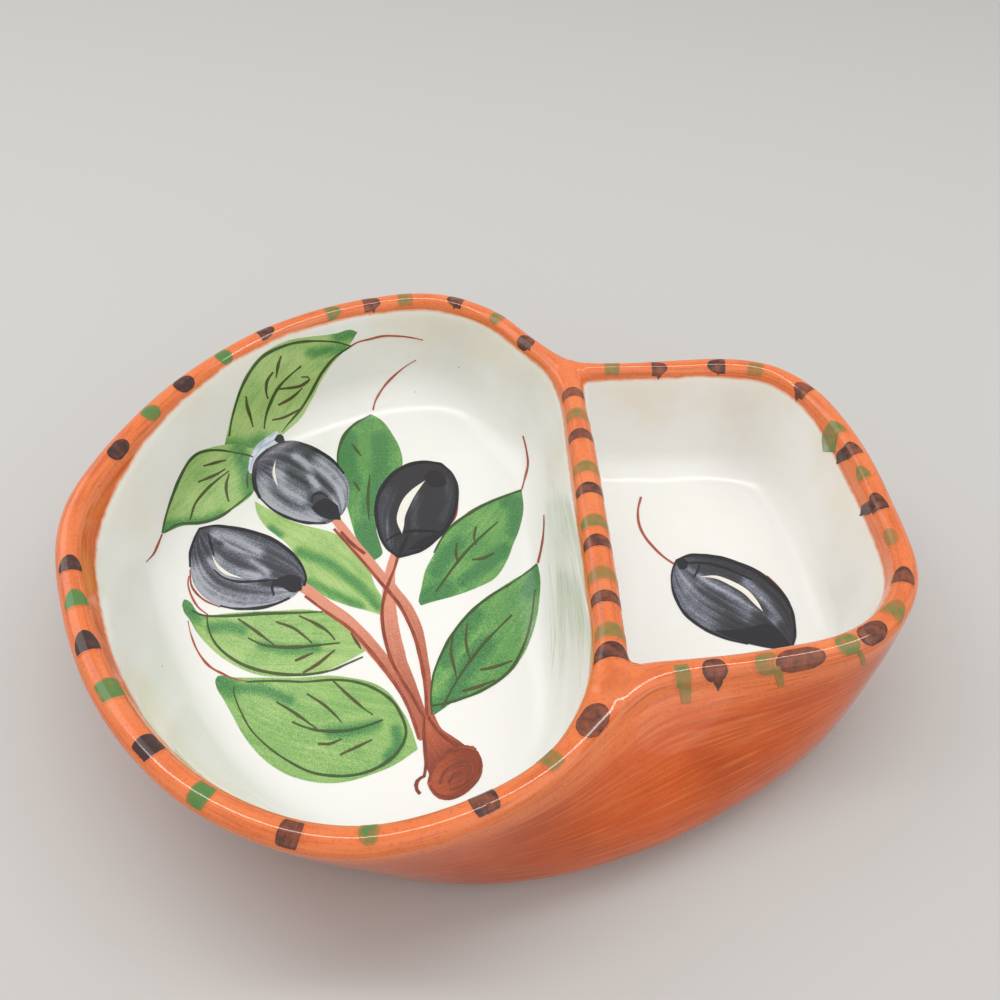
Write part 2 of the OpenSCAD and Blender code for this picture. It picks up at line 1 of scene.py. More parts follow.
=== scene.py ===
"""Looks of the divided olive dish: pressed red clay, two wells under cream slip,
brush painted sprig, olives and rim dabs, all below one clear glaze.
The frame is in metres. Sizes here are in millimetres times MM.
Places named as pixels are read off the 1000 x 1000 photograph and sent down the
camera's sight lines onto the clay, so every stroke sits on what carries it."""

import math
from bisect import bisect_left

import bmesh
import bpy
from mathutils import Euler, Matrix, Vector, noise
from mathutils.bvhtree import BVHTree
from mathutils.kdtree import KDTree


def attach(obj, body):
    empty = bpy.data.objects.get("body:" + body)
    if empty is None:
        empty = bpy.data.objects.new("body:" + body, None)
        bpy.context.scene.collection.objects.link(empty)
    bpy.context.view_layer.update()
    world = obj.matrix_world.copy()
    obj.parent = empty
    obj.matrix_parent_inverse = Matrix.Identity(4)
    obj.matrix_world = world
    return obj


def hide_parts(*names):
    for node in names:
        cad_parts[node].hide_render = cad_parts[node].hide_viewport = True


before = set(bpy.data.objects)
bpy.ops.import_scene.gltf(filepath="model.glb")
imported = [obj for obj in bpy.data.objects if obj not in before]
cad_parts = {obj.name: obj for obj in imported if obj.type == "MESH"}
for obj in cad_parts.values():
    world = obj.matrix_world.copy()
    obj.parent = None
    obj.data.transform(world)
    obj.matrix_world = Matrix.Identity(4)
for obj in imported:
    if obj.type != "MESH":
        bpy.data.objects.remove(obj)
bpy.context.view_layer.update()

MM = 0.001
# The photograph's width and height in pixels.
PHOTO = 1000

# Camera
EYE = Vector((1.86, -175.2, 216.6)) * MM
GAZE = Euler([math.radians(turn) for turn in (45.1246, -0.8443, 0)])
SENSOR = 36
LENS = 33.3
SIGHT = LENS / SENSOR * PHOTO
NEAR_CLIP = 10 * MM


def set_camera():
    """Stands the camera where the photograph was taken."""
    data = bpy.data.cameras.new("photo_camera")
    data.sensor_width = SENSOR
    data.lens = LENS
    data.clip_start = NEAR_CLIP
    camera = bpy.data.objects.new("photo_camera", data)
    camera.location = EYE
    camera.rotation_euler = GAZE
    bpy.context.scene.collection.objects.link(camera)
    bpy.context.scene.camera = camera


# Clay
TOUCH = 0.01 * MM
FLAT_TURN = math.radians(30)
SQUARE_TURN = math.radians(70)
ROUNDING = 2
# Finger marks: how deep and how far apart, the share and fineness of the smaller ones, and where they fade.
PRESS_DEPTH = 0.15 * MM
PRESS_SPAN = 28 * MM
SMALLER_SHARE = 0.4
SMALLER_FINENESS = 2.3
PRESS_FADE = 8 * MM


def loose_copy(*names):
    """The named CAD solids as one welded mesh, without the faces they share."""
    clay = bmesh.new()
    for name in names:
        clay.from_mesh(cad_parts[name].data)
    middles = [face.calc_center_median() for face in clay.faces]
    tree = KDTree(len(middles))
    for number, middle in enumerate(middles):
        tree.insert(middle, number)
    tree.balance()
    shared = [
        face for face, middle in zip(clay.faces, middles) if len(tree.find_range(middle, TOUCH)) > 1
    ]
    bmesh.ops.delete(clay, geom=shared, context="FACES")
    bmesh.ops.remove_doubles(clay, verts=clay.verts, dist=TOUCH)
    return clay


def finish_mesh(bm, name):
    """Turns a bmesh into an object at the origin with smooth faces."""
    mesh = bpy.data.meshes.new(name)
    for face in bm.faces:
        face.smooth = True
    bm.to_mesh(mesh)
    bm.free()
    piece = bpy.data.objects.new(name, mesh)
    bpy.context.scene.collection.objects.link(piece)
    return piece


def rounded(piece, levels):
    """Applies a subdivision surface to a piece."""
    soft = piece.modifiers.new("rounding", "SUBSURF")
    soft.levels = levels
    soft.render_levels = levels
    graph = bpy.context.evaluated_depsgraph_get()
    graph.update()
    mesh = bpy.data.meshes.new_from_object(piece.evaluated_get(graph))
    piece.modifiers.clear()
    piece.data = mesh
    return piece


def press_by_hand(piece):
    """Pushes the clay in and out a little, as fingers leave it, but not its foot."""
    normals = [vertex.normal.copy() for vertex in piece.data.vertices]
    for vertex, normal in zip(piece.data.vertices, normals):
        fade = min(1, vertex.co.z / PRESS_FADE)
        smaller = noise.noise(vertex.co * SMALLER_FINENESS / PRESS_SPAN)
        push = noise.noise(vertex.co / PRESS_SPAN) + SMALLER_SHARE * smaller
        vertex.co += normal * push * PRESS_DEPTH * fade


def make_clay_body():
    """Bowl and divider, pressed as one wall."""
    clay = loose_copy("bowl", "divider")
    bmesh.ops.join_triangles(
        clay, faces=clay.faces, angle_face_threshold=FLAT_TURN, angle_shape_threshold=SQUARE_TURN
    )
    body = rounded(finish_mesh(clay, "clay_body"), ROUNDING)
    press_by_hand(body)
    return body


# Slip
WELLS = {"large_well": "large_well_slip", "small_well": "small_well_slip"}
SLIP_EDGE_Z = 40.7 * MM
LINING_NEAR = 1.5 * MM
COAT = 0.26 * MM
COAT_UNDER = 0.06 * MM
COAT_WALL = 0.5 * MM
# Depths in the slip in mm: where its coat rises, where its mesh ends, and where paint can lie.
COAT_RISE = (-1.0, 1.4)
COAT_REACH = -4.0
PAINT_DEPTH = 0.5
REACH_SPREAD = 5 * MM
REACH_CALM = 30 * MM
# The most faces that a sight line passes from behind.
PASSED_FACES = 6

# Where the slip runs past its line on the crown (more) or stops short of it (less), in mm.
SLIP_REACH = {
    "large_well": [
        ((402, 310), 0.8), ((339, 318), 1.3), ((281, 334), 2.2), ((230, 360), 2.3),
        ((179, 400), 1.2), ((143, 439), 0.2), ((120, 474), -2.0), ((105, 508), -4.0),
        ((100, 531), -4.6), ((94, 551), -4.2), ((91, 570), -3.2), ((95, 607), -2.0),
        ((110, 660), -0.8), ((152, 731), 0.5), ((273, 817), 0.6), ((515, 772), -1.0), ((546, 748), -1.2),
        ((584, 696), 0.3), ((584, 550), 1.0), ((570, 474), 0.0), ((512, 342), 1.3),
        ((453, 314), 0.5),
    ],
    "small_well": [
        ((684, 376), 1.1), ((770, 378), 0.6), ((845, 479), -2.6), ((883, 563), -2.4),
        ((800, 640), 0.0), ((620, 560), 0.0),
    ],
}


def sight_line(pixel):
    """The camera's line of sight through one pixel of the photograph."""
    x, y = pixel
    way = Vector(((x - PHOTO / 2) / SIGHT, (PHOTO / 2 - y) / SIGHT, -1))
    way.rotate(GAZE)
    return way.normalized()


def look(pixel, skin):
    """The first place that faces the camera on a sight line, and its normal."""
    start, way = EYE, sight_line(pixel)
    for _ in range(PASSED_FACES):
        place, normal, _, _ = skin.ray_cast(start, way)
        if place is None:
            return None
        if normal.dot(way) < 0:
            return place, normal
        start = place + way * TOUCH
    return None


def mesh_skin(*pieces, keep=None):
    """A search tree over the faces of some pieces."""
    places, faces = [], []
    for piece in pieces:
        first = len(places)
        places += [vertex.co.copy() for vertex in piece.data.vertices]
        for face in piece.data.polygons:
            if keep is None or keep(piece, face):
                faces.append([first + corner for corner in face.vertices])
    return BVHTree.FromPolygons(places, faces)


class SlipLine:
    """Says how deep in the slip any place lies, in mm. Below zero it is bare clay."""

    def __init__(self, body):
        self.linings = {}
        self.reach = {}
        skin = mesh_skin(body)
        for well, node in WELLS.items():
            self.linings[well] = mesh_skin(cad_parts[node])
            marks = []
            for pixel, reach in SLIP_REACH[well]:
                seen = look(pixel, skin)
                if seen:
                    marks.append((seen[0], reach))
            self.reach[well] = marks

    def nearest(self, place):
        """The well whose lining lies nearest, and the gap to it."""
        gaps = {well: lining.find_nearest(place)[3] for well, lining in self.linings.items()}
        well = min(gaps, key=gaps.get)
        return well, gaps[well]

    def depth(self, place):
        """How deep in the slip one place lies."""
        well, gap = self.nearest(place)
        below = SLIP_EDGE_Z - place.z
        depth = below if below > 0 and gap < LINING_NEAR else -gap
        total, weight = 0.0, 1 / REACH_CALM**2
        for mark, reach in self.reach[well]:
            pull = 1 / ((mark - place).length_squared + REACH_SPREAD**2)
            total += pull * reach
            weight += pull
        return depth / MM + total / weight


def keep_depth(piece, slip_line):
    """Stores the slip depth on a piece's vertices for its material."""
    layer = piece.data.attributes.new("slip_depth", "FLOAT", "POINT")
    for vertex, value in zip(piece.data.vertices, layer.data):
        value.value = slip_line.depth(vertex.co)


def ease(share):
    """A soft step from 0 to 1."""
    share = min(1, max(0, share))
    return share * share * (3 - 2 * share)


def make_slip_coat(body, slip_line, well):
    """The poured slip of one well: a thin skin on the clay that thins out over the crown."""
    depths = [value.value for value in body.data.attributes["slip_depth"].data]
    coat = bmesh.new()
    coat.from_mesh(body.data)
    coat.verts.ensure_lookup_table()
    normals = [vertex.normal.copy() for vertex in coat.verts]
    bare = [
        face for face in coat.faces
        if min(depths[corner.index] for corner in face.verts) < COAT_REACH
        or slip_line.nearest(face.calc_center_median())[0] != well
    ]
    low, high = COAT_RISE
    for vertex, normal, depth in zip(coat.verts, normals, depths):
        cover = ease((depth - low) / (high - low))
        vertex.co += normal * (cover * (COAT + COAT_UNDER) - COAT_UNDER)
    bmesh.ops.delete(coat, geom=bare, context="FACES")
    piece = finish_mesh(coat, well + "_coat")
    wall = piece.modifiers.new("under", "SOLIDIFY")
    wall.thickness = COAT_WALL
    wall.offset = -1
    return piece


# Brush
# The size of one face of a stroke, and the fewest faces along it and across it.
BRUSH_CELL = 1.2 * MM
LEAF_CELL = 0.9 * MM
OLIVE_CELL = 0.6 * MM
DAB_CELL = 0.5 * MM
NARROW = 1.6 * MM
FEWEST_ALONG = 4
FEWEST_ACROSS = 4
FEWEST_IN_NARROW = 2
# Steps between two traced places, along a wet touch and along a stroke that is being measured.
FLOW_STEPS = 8
TOUCH_STEPS = 24
MEASURE_STEPS = 8
# Shares of a stroke: how far to each side its direction is read, and what counts as its edge.
WAY_SHARE = 0.02
EDGE_SHARE = 0.001
# The hand's tremble: how much wider or narrower a stroke gets and over what length, in pixels.
SHAKE = 0.9
SHAKE_SPAN = 12
# How thick a stroke is, how much higher the next one lies, and how near its corners are joined.
UNDER = 0.35 * MM
LAYER = 0.002 * MM
WELD = 0.02 * MM
# The level at which a sight line that misses the dish is stopped.
WELL_LEVEL = 10 * MM
# How far from its edge a crisp stroke says it is, in mm.
FULL_EDGE = 3


def flow(places):
    """A smooth line through traced places, asked for by its share of the length."""
    marks = [Vector(place) for place in places]
    ends = [2 * marks[0] - marks[1]] + marks + [2 * marks[-1] - marks[-2]]
    fine = []
    for a, b, c, d in zip(ends, ends[1:], ends[2:], ends[3:]):
        square, cube = 2 * a - 5 * b + 4 * c - d, 3 * b - a - 3 * c + d
        for step in range(FLOW_STEPS):
            t = step / FLOW_STEPS
            fine.append(0.5 * (2 * b + (c - a) * t + square * t**2 + cube * t**3))
    fine.append(marks[-1])
    run = [0]
    for near, far in zip(fine, fine[1:]):
        run.append(run[-1] + (far - near).length)

    def at(share):
        goal = share * run[-1]
        number = min(len(fine) - 1, max(1, bisect_left(run, goal)))
        part = (goal - run[number - 1]) / max(1e-9, run[number] - run[number - 1])
        return fine[number - 1].lerp(fine[number], part)

    return at


def fill(left, right):
    """A shape between two traced edges."""
    one, other = flow(left), flow(right)
    return lambda u, v: one(u).lerp(other(u), v)


def ribbon(path, widths):
    """A stroke along a traced line, unsteady as a hand, its widths in pixels at start, middle and end."""
    line = flow(path)
    start, middle, end = widths

    def at(u, v):
        way = (line(min(1, u + WAY_SHARE)) - line(max(0, u - WAY_SHARE))).normalized()
        tip, reach = (start, u) if u < 0.5 else (end, 1 - u)
        width = tip + (middle - tip) * ease(reach * 2)
        spot = line(u)
        width += SHAKE * noise.noise((spot.x / SHAKE_SPAN, spot.y / SHAKE_SPAN, 0))
        return spot + Vector((-way.y, way.x)) * (v - 0.5) * width

    return at


def wetness(spot, marks):
    """How deep a pixel lies in the nearest mark, from 0 at its soft edge to 1 on its middle line."""
    return max(ease(1 - min((spot - point).length for point in points) / reach) for reach, points in marks)


def marks_along(touches):
    """Soft touches of the brush: how far they reach to each side, and the pixels they pass."""
    lines = [(reach, flow(path)) for reach, path in touches]
    return [(reach, [line(step / TOUCH_STEPS) for step in range(TOUCH_STEPS + 1)]) for reach, line in lines]


class Brush:
    """Paints strokes of one colour, as thin closed skins on the dish."""

    def __init__(self, name, skin, slip_line, lift):
        self.name = name
        self.skin = skin
        self.slip_line = slip_line
        self.lift = lift
        self.paint = bmesh.new()
        self.depth = self.paint.verts.layers.float.new("slip_depth")
        self.edge = self.paint.verts.layers.float.new("edge")
        self.tone = self.paint.verts.layers.float.new("tone")
        self.second = self.paint.verts.layers.float.new("second")
        self.brush = self.paint.loops.layers.uv.new("brush")
        self.share = self.paint.loops.layers.uv.new("share")

    def seen(self, pixel):
        """A pixel's place on the dish, or the nearest to it."""
        found = look(pixel, self.skin)
        if found:
            return found
        way = sight_line(pixel)
        floor = EYE + way * ((WELL_LEVEL - EYE.z) / way.z)
        place, normal, _, _ = self.skin.find_nearest(floor)
        return place, normal

    def stroke(self, shape, tone=0.5, place_of=None, marks=(), cell=BRUSH_CELL, crisp=False):
        """Lays one stroke. shape gives a pixel for each share along and across it, or else place_of
        gives a place and its normal. marks are wet touches, and a crisp stroke has no soft edge."""
        self.lift += LAYER
        place_of = place_of or (lambda u, v: self.seen(shape(u, v)))
        rough = [place_of(step / MEASURE_STEPS, 0.5)[0] for step in range(MEASURE_STEPS + 1)]
        length = sum((far - near).length for near, far in zip(rough, rough[1:]))
        width = max((place_of(share, 0)[0] - place_of(share, 1)[0]).length for share in (0.25, 0.5, 0.75))
        along = max(FEWEST_ALONG, round(length / cell))
        across = max(FEWEST_IN_NARROW if width < NARROW else FEWEST_ACROSS, round(width / cell))
        made = bmesh.ops.create_grid(self.paint, x_segments=along, y_segments=across, size=0.5)["verts"]
        shares = {}
        spots = {}
        for vertex in made:
            u, v = vertex.co.x + 0.5, vertex.co.y + 0.5
            place, normal = place_of(u, v)
            shares[vertex] = (u, v)
            spots[vertex] = (place, normal)
        widths = {}
        for vertex, (u, v) in shares.items():
            row = widths.setdefault(round(u * along), [None, None])
            if v < EDGE_SHARE:
                row[0] = spots[vertex][0]
            elif v > 1 - EDGE_SHARE:
                row[1] = spots[vertex][0]
        faces = {face for vertex in made for face in vertex.link_faces}
        facing = 0
        for vertex in made:
            u, v = shares[vertex]
            place, normal = spots[vertex]
            row = widths[round(u * along)]
            wide = (row[0] - row[1]).length
            vertex.co = place + normal * self.lift
            vertex[self.depth] = self.slip_line.depth(place)
            inside = min(min(v, 1 - v) * wide, min(u, 1 - u) * length) / MM
            vertex[self.edge] = FULL_EDGE if crisp else inside
            vertex[self.tone] = tone
            if marks:
                vertex[self.second] = wetness(shape(u, v), marks)
            for loop in vertex.link_loops:
                loop[self.brush].uv = (u * length / MM, (v - 0.5) * wide / MM)
                loop[self.share].uv = (u, v)
        for face in faces:
            face.normal_update()
            facing += face.normal.dot(spots[face.verts[0]][1])
        if facing < 0:
            bmesh.ops.reverse_faces(self.paint, faces=list(faces))

    def done(self):
        """The strokes as one piece, closed below."""
        bmesh.ops.remove_doubles(self.paint, verts=self.paint.verts, dist=WELD)
        for edge in self.paint.edges:
            if edge.is_boundary:
                edge.smooth = False
        piece = finish_mesh(self.paint, self.name)
        wall = piece.modifiers.new("under", "SOLIDIFY")
        wall.thickness = UNDER
        wall.offset = -1
        return piece


# The sprig, as traced
# Each leaf: how deep its green is, its edges, its fine lines, and the reach and path of each dark touch.
LEAVES = {
    "top_leaf": {
        "tone": 0.1,
        "left": [(222, 454), (228, 426), (234, 403), (241, 383), (252, 364), (267, 350), (288, 340),
                 (311, 336), (335, 333), (349, 329), (358, 332)],
        "right": [(250, 466), (282, 436), (300, 420), (311, 402), (321, 382), (331, 366), (340, 356),
                  (347, 349), (352, 342), (358, 332)],
        "lines": [
            [(229, 436), (232, 418), (239, 394), (248, 375), (261, 358), (276, 349), (294, 343),
             (314, 341), (335, 342), (351, 346)],
            [(351, 346), (335, 357), (323, 371), (316, 383), (309, 396), (300, 410), (288, 424),
             (282, 432)],
            [(264, 429), (266, 415), (272, 399), (278, 388), (288, 377), (301, 366)],
            [(246, 396), (247, 406), (250, 416), (253, 427)],
            [(281, 356), (278, 365), (276, 378)],
            [(273, 372), (267, 381), (266, 392), (268, 399)],
            [(278, 389), (288, 388), (300, 386), (309, 380), (308, 377), (301, 377)],
            [(278, 405), (288, 400), (296, 394), (302, 388)],
            [(272, 420), (282, 418), (291, 414), (300, 409)],
        ],
        "darks": [(12, [(338, 337), (348, 334), (357, 333)]), (10, [(311, 353), (328, 350), (343, 349)]),
                  (14, [(228, 446), (245, 446), (262, 440)])],
    },
    "far_left_leaf": {
        "tone": 0.2,
        "left": [(163, 534), (165, 520), (170, 503), (177, 485), (184, 468), (194, 455), (203, 450),
                 (217, 446), (235, 444), (254, 449)],
        "right": [(163, 534), (182, 526), (203, 524), (223, 515), (241, 504), (253, 493), (256, 480),
                  (256, 468), (255, 456), (254, 449)],
        "lines": [
            [(162, 533), (166, 515), (173, 494), (181, 475), (190, 460), (201, 452), (217, 450),
             (232, 452), (247, 455), (253, 457)],
            [(165, 532), (179, 524), (197, 523), (209, 521), (223, 515), (238, 504), (251, 493)],
            [(190, 520), (195, 504), (206, 490), (217, 480), (229, 471)],
            [(198, 482), (208, 478), (217, 474), (225, 469)],
            [(203, 466), (214, 463), (226, 460)],
            [(229, 474), (226, 485), (227, 496), (229, 502)],
            [(248, 471), (247, 480), (248, 488)],
        ],
        "darks": [(12, [(163, 532), (170, 527), (182, 525)]), (10, [(188, 523), (204, 523), (221, 516)]),
                  (14, [(240, 450), (246, 470), (250, 490)])],
    },
    "middle_leaf": {
        "tone": 1.05,
        "left": [(372, 414), (355, 422), (345, 432), (339, 444), (337, 456), (338, 471), (342, 487),
                 (346, 505), (352, 527), (358, 546), (365, 559), (374, 561)],
        "right": [(372, 414), (384, 422), (394, 436), (401, 450), (403, 465), (396, 480), (386, 494),
                  (378, 512), (377, 529), (381, 544), (383, 554), (374, 561)],
        "lines": [
            [(371, 415), (355, 424), (344, 436), (338, 453), (338, 468)],
            [(370, 475), (368, 497), (369, 520)],
            [(352, 444), (361, 456)],
            [(354, 482), (360, 491)],
        ],
        "darks": [(14, [(348, 440), (346, 458), (352, 480)]), (18, [(368, 530), (372, 543), (374, 557)]),
                  (13, [(380, 440), (380, 470), (370, 510)])],
    },
    "hidden_leaf": {
        "tone": 0.2,
        "left": [(254, 500), (264, 506), (288, 519), (305, 525), (329, 531), (352, 541), (364, 552),
                 (375, 584), (383, 598), (382, 616)],
        "right": [(254, 500), (257, 515), (266, 528), (276, 536), (288, 546), (302, 567), (306, 584),
                  (324, 597), (347, 606), (366, 611), (382, 616)],
        "lines": [],
        "darks": [(9, [(300, 552), (327, 563), (347, 577), (363, 589), (378, 606)]),
                  (7, [(271, 529), (280, 535)]), (8, [(310, 582), (334, 594), (360, 606)])],
    },
    "upper_right_leaf": {
        "tone": 0.95,
        "left": [(522, 490), (505, 496), (484, 505), (467, 515), (452, 526), (442, 538), (434, 553),
                 (425, 570), (421, 587), (418, 601), (421, 606)],
        "right": [(522, 490), (524, 509), (520, 529), (514, 544), (507, 562), (495, 579), (473, 590),
                  (453, 597), (434, 602), (421, 606)],
        "lines": [
            [(522, 490), (505, 496), (484, 505), (467, 515), (452, 526), (442, 538), (434, 553)],
            [(436, 592), (450, 572), (466, 552), (482, 536), (498, 522)],
            [(457, 543), (456, 554), (458, 563)],
            [(476, 527), (474, 538), (476, 545)],
            [(472, 560), (484, 558), (494, 553)],
        ],
        "darks": [(18, [(420, 605), (432, 597), (445, 590)]), (12, [(437, 572), (446, 556), (458, 544)]),
                  (14, [(508, 500), (517, 506), (516, 530)]), (10, [(462, 582), (484, 566), (504, 550)])],
    },
    "lower_right_leaf": {
        "tone": 0.92,
        "left": [(431, 718), (429, 696), (432, 674), (442, 649), (456, 626), (473, 607), (492, 593),
                 (512, 580), (526, 572), (538, 563)],
        "right": [(431, 718), (440, 712), (455, 702), (475, 694), (495, 685), (512, 672), (524, 655),
                  (531, 640), (537, 620), (540, 600), (541, 580), (538, 563)],
        "lines": [
            [(432, 715), (431, 696), (434, 673), (445, 647), (457, 628), (473, 610), (492, 595),
             (512, 583), (530, 570), (537, 564)],
            [(431, 706), (448, 703), (464, 698), (481, 691), (498, 681), (512, 668), (522, 650),
             (529, 630), (533, 608), (535, 590)],
            [(442, 708), (456, 682), (473, 657), (487, 640), (501, 626), (512, 615)],
            [(453, 636), (451, 652), (455, 671), (457, 681)],
            [(467, 624), (466, 643), (470, 660)],
            [(480, 670), (495, 667), (512, 661)],
            [(462, 691), (478, 687), (495, 680)],
        ],
        "darks": [(15, [(433, 712), (446, 703), (460, 688)]), (15, [(456, 686), (470, 664), (486, 644)]),
                  (14, [(530, 590), (536, 572), (537, 565)]), (12, [(446, 660), (458, 636), (476, 616)])],
    },
    "lower_left_leaf": {
        "tone": 0.3,
        "left": [(182, 605), (184, 599), (191, 602), (197, 611), (207, 615), (226, 613), (254, 611),
                 (282, 610), (304, 609), (324, 612), (341, 621), (358, 635), (370, 649)],
        "right": [(182, 605), (184, 613), (190, 621), (196, 632), (204, 642), (220, 657), (240, 669),
                  (260, 676), (282, 678), (304, 676), (327, 671), (347, 662), (370, 649)],
        "lines": [
            [(192, 611), (206, 616), (232, 616), (260, 614), (293, 613), (323, 612)],
            [(207, 617), (208, 626), (212, 638), (220, 649), (234, 660), (251, 668), (271, 673),
             (293, 675), (313, 674), (333, 670), (347, 664), (363, 657)],
            [(248, 638), (260, 644), (276, 647), (299, 647), (321, 645), (340, 643)],
            [(238, 619), (254, 630), (274, 645)],
            [(276, 622), (293, 628), (304, 636), (312, 643)],
            [(299, 616), (316, 624), (328, 632), (335, 640)],
            [(295, 661), (304, 657), (313, 653)],
            [(303, 673), (318, 664), (335, 650)],
            [(351, 633), (361, 649)],
        ],
        "darks": [(19, [(184, 604), (189, 609), (194, 614)]), (10, [(212, 628), (228, 627), (242, 630)]),
                  (9, [(262, 646), (290, 650), (316, 648)])],
    },
    "bottom_leaf": {
        "tone": 0.46,
        "left": [(215, 682), (217, 676), (225, 675), (237, 677), (271, 677), (299, 677), (327, 675),
                 (349, 677), (372, 682), (389, 692), (401, 708), (410, 724), (418, 748)],
        "right": [(215, 682), (217, 690), (222, 698), (232, 716), (243, 736), (260, 757), (282, 773),
                  (304, 781), (327, 784), (349, 782), (372, 775), (394, 766), (418, 750)],
        "lines": [
            [(246, 682), (276, 681), (304, 682), (333, 680), (355, 682), (375, 689), (392, 701),
             (401, 715), (406, 730), (403, 744), (392, 758), (375, 769), (355, 775), (333, 776),
             (310, 772), (288, 761), (268, 747), (251, 730), (240, 710), (234, 694), (234, 687)],
            [(292, 722), (304, 727), (321, 731), (344, 731), (363, 727), (383, 720)],
            [(276, 702), (293, 712), (317, 729)],
            [(307, 694), (324, 705), (335, 715), (342, 723)],
            [(333, 681), (349, 696), (363, 708), (373, 715)],
            [(318, 744), (330, 744), (342, 739)],
            [(340, 755), (355, 748), (372, 740)],
        ],
        "darks": [(19, [(218, 681), (224, 684), (230, 687)]), (9, [(236, 688), (262, 690), (290, 700)]),
                  (9, [(396, 730), (398, 745), (388, 757)]), (10, [(330, 733), (354, 730), (376, 724)])],
    },
}

STEMS = {
    "stem_of_low_olive": [(294, 583), (309, 591), (326, 605), (346, 620), (362, 636), (375, 651),
                          (388, 667), (402, 687), (413, 705), (419, 722), (423, 740)],
    "stem_of_mid_olive": [(397, 550), (390, 573), (389, 594), (389, 612), (391, 630), (395, 647),
                          (400, 664), (408, 681), (415, 698), (421, 712), (427, 724)],
    "stem_of_high_olive": [(331, 514), (339, 524), (352, 541), (366, 558), (381, 577), (394, 592),
                           (407, 609), (417, 630), (422, 652), (426, 674), (428, 696), (429, 724)],
}
# Widths in pixels at the start, the middle and the end of each stroke.
STEM_WIDTHS = {
    "stem_of_low_olive": (10, 14, 8), "stem_of_mid_olive": (9, 17, 9), "stem_of_high_olive": (9, 12, 7),
}
STEM_LINE_WIDTHS = (2.6, 3.6, 3.2)
STUB_RING_WIDTHS = (3, 5, 3)
ACCENT_WIDTHS = (1.2, 2.2, 1.2)
LEAF_LINE_WIDTHS = (1.7, 3.0, 1.4)
LARGE_TENDRIL_WIDTHS = (1.9, 2, 1)
SMALL_TENDRIL_WIDTHS = (2.2, 2.6, 1.8)
STREAK_WIDTHS = (3, 10, 3)
STEM_LINES = [
    [(305, 596), (326, 612), (349, 628), (367, 647), (383, 667), (399, 690), (411, 714), (419, 739)],
    [(334, 529), (349, 546), (365, 564), (381, 583), (395, 599), (406, 617), (415, 638), (421, 661),
     (425, 684), (427, 716)],
    [(398, 557), (394, 570), (388, 585), (384, 598), (382, 612), (383, 628), (387, 647), (393, 664),
     (403, 682), (413, 698), (423, 716)],
    [(341, 532), (352, 544), (365, 554)],
    [(424, 716), (424, 735), (425, 750), (426, 764), (424, 777)],
    [(428, 717), (438, 731), (450, 741), (462, 747), (474, 748)],
    [(425, 776), (418, 780), (416, 788), (420, 794)],
]
NECK = (
    [(421, 712), (423, 728), (425, 742), (426, 758), (428, 772), (437, 786)],
    [(433, 712), (441, 728), (452, 736), (462, 743), (470, 750), (474, 760)],
)
STUB = (
    [(427, 783), (432, 767), (440, 757), (452, 749), (465, 746), (475, 748), (481, 757), (483, 766)],
    [(427, 783), (431, 792), (439, 799), (450, 800), (462, 795), (473, 786), (480, 776), (483, 766)],
)
STUB_RINGS = [
    [(429, 782), (433, 768), (441, 758), (453, 750), (466, 747), (476, 750)],
    [(481, 762), (480, 774), (472, 785), (460, 794), (447, 798), (436, 794), (430, 786)],
    [(440, 784), (443, 774), (452, 767), (463, 763), (471, 766), (470, 776), (461, 785), (450, 790)],
    [(448, 783), (453, 776), (461, 772)],
]
ACCENTS = [
    [(189, 576), (188, 584), (191, 595), (198, 607), (208, 615)],
    [(188, 621), (191, 635), (198, 652), (209, 666), (223, 674), (237, 680), (247, 681)],
    [(302, 444), (317, 450), (332, 460)],
    [(458, 497), (456, 515), (446, 528), (434, 540)],
    [(190, 570), (192, 587), (204, 600), (220, 607)],
    [(767, 576), (778, 587), (786, 599), (791, 613)],
]
LARGE_TENDRILS = [
    [(351, 346), (358, 342), (370, 339), (383, 336), (396, 336), (408, 337), (423, 340)],
    [(373, 410), (375, 402), (379, 394), (386, 384), (396, 374), (406, 366), (416, 360)],
    [(522, 489), (525, 478), (528, 465), (527, 453), (525, 443), (523, 436)],
    [(538, 563), (541, 550), (543, 538), (544, 526), (544, 515)],
    [(162, 534), (158, 544), (154, 553), (149, 559), (146, 562)],
]
SMALL_TENDRIL = [(641, 497), (638, 510), (639, 524), (645, 537), (655, 549), (665, 558), (674, 564)]

OLIVES = {
    "low_olive": (
        [(199, 529), (212, 526), (226, 527), (248, 531), (271, 539), (288, 550), (300, 563), (306, 577),
         (305, 584)],
        [(199, 529), (194, 540), (190, 553), (190, 567), (194, 584), (204, 597), (218, 605), (237, 609),
         (260, 608), (276, 604), (293, 597), (305, 584)],
    ),
    "high_olive": (
        [(257, 464), (262, 454), (270, 447), (282, 442), (294, 442), (308, 446), (323, 454), (335, 463),
         (344, 474), (349, 485), (349, 500), (344, 512), (338, 518)],
        [(257, 464), (254, 475), (255, 487), (260, 498), (273, 510), (291, 519), (308, 524), (326, 524),
         (338, 518)],
    ),
    "mid_olive": (
        [(441, 464), (426, 462), (408, 465), (393, 474), (384, 485), (379, 497), (376, 512), (379, 532),
         (386, 547), (398, 557)],
        [(441, 464), (452, 474), (457, 488), (456, 506), (449, 524), (437, 538), (423, 550), (405, 556),
         (398, 557)],
    ),
}
SMALL_OLIVE = (
    [(676, 561), (687, 556), (698, 555), (721, 558), (739, 564), (757, 572), (771, 583), (783, 595),
     (791, 609), (794, 622), (795, 636), (792, 647)],
    [(676, 561), (672, 572), (672, 586), (676, 599), (684, 613), (698, 625), (714, 634), (730, 640),
     (748, 644), (767, 648), (780, 649), (792, 647)],
)
OLIVE_TONES = (-0.05, -0.045, 0.32)
SMALL_OLIVE_TONE = 0.1
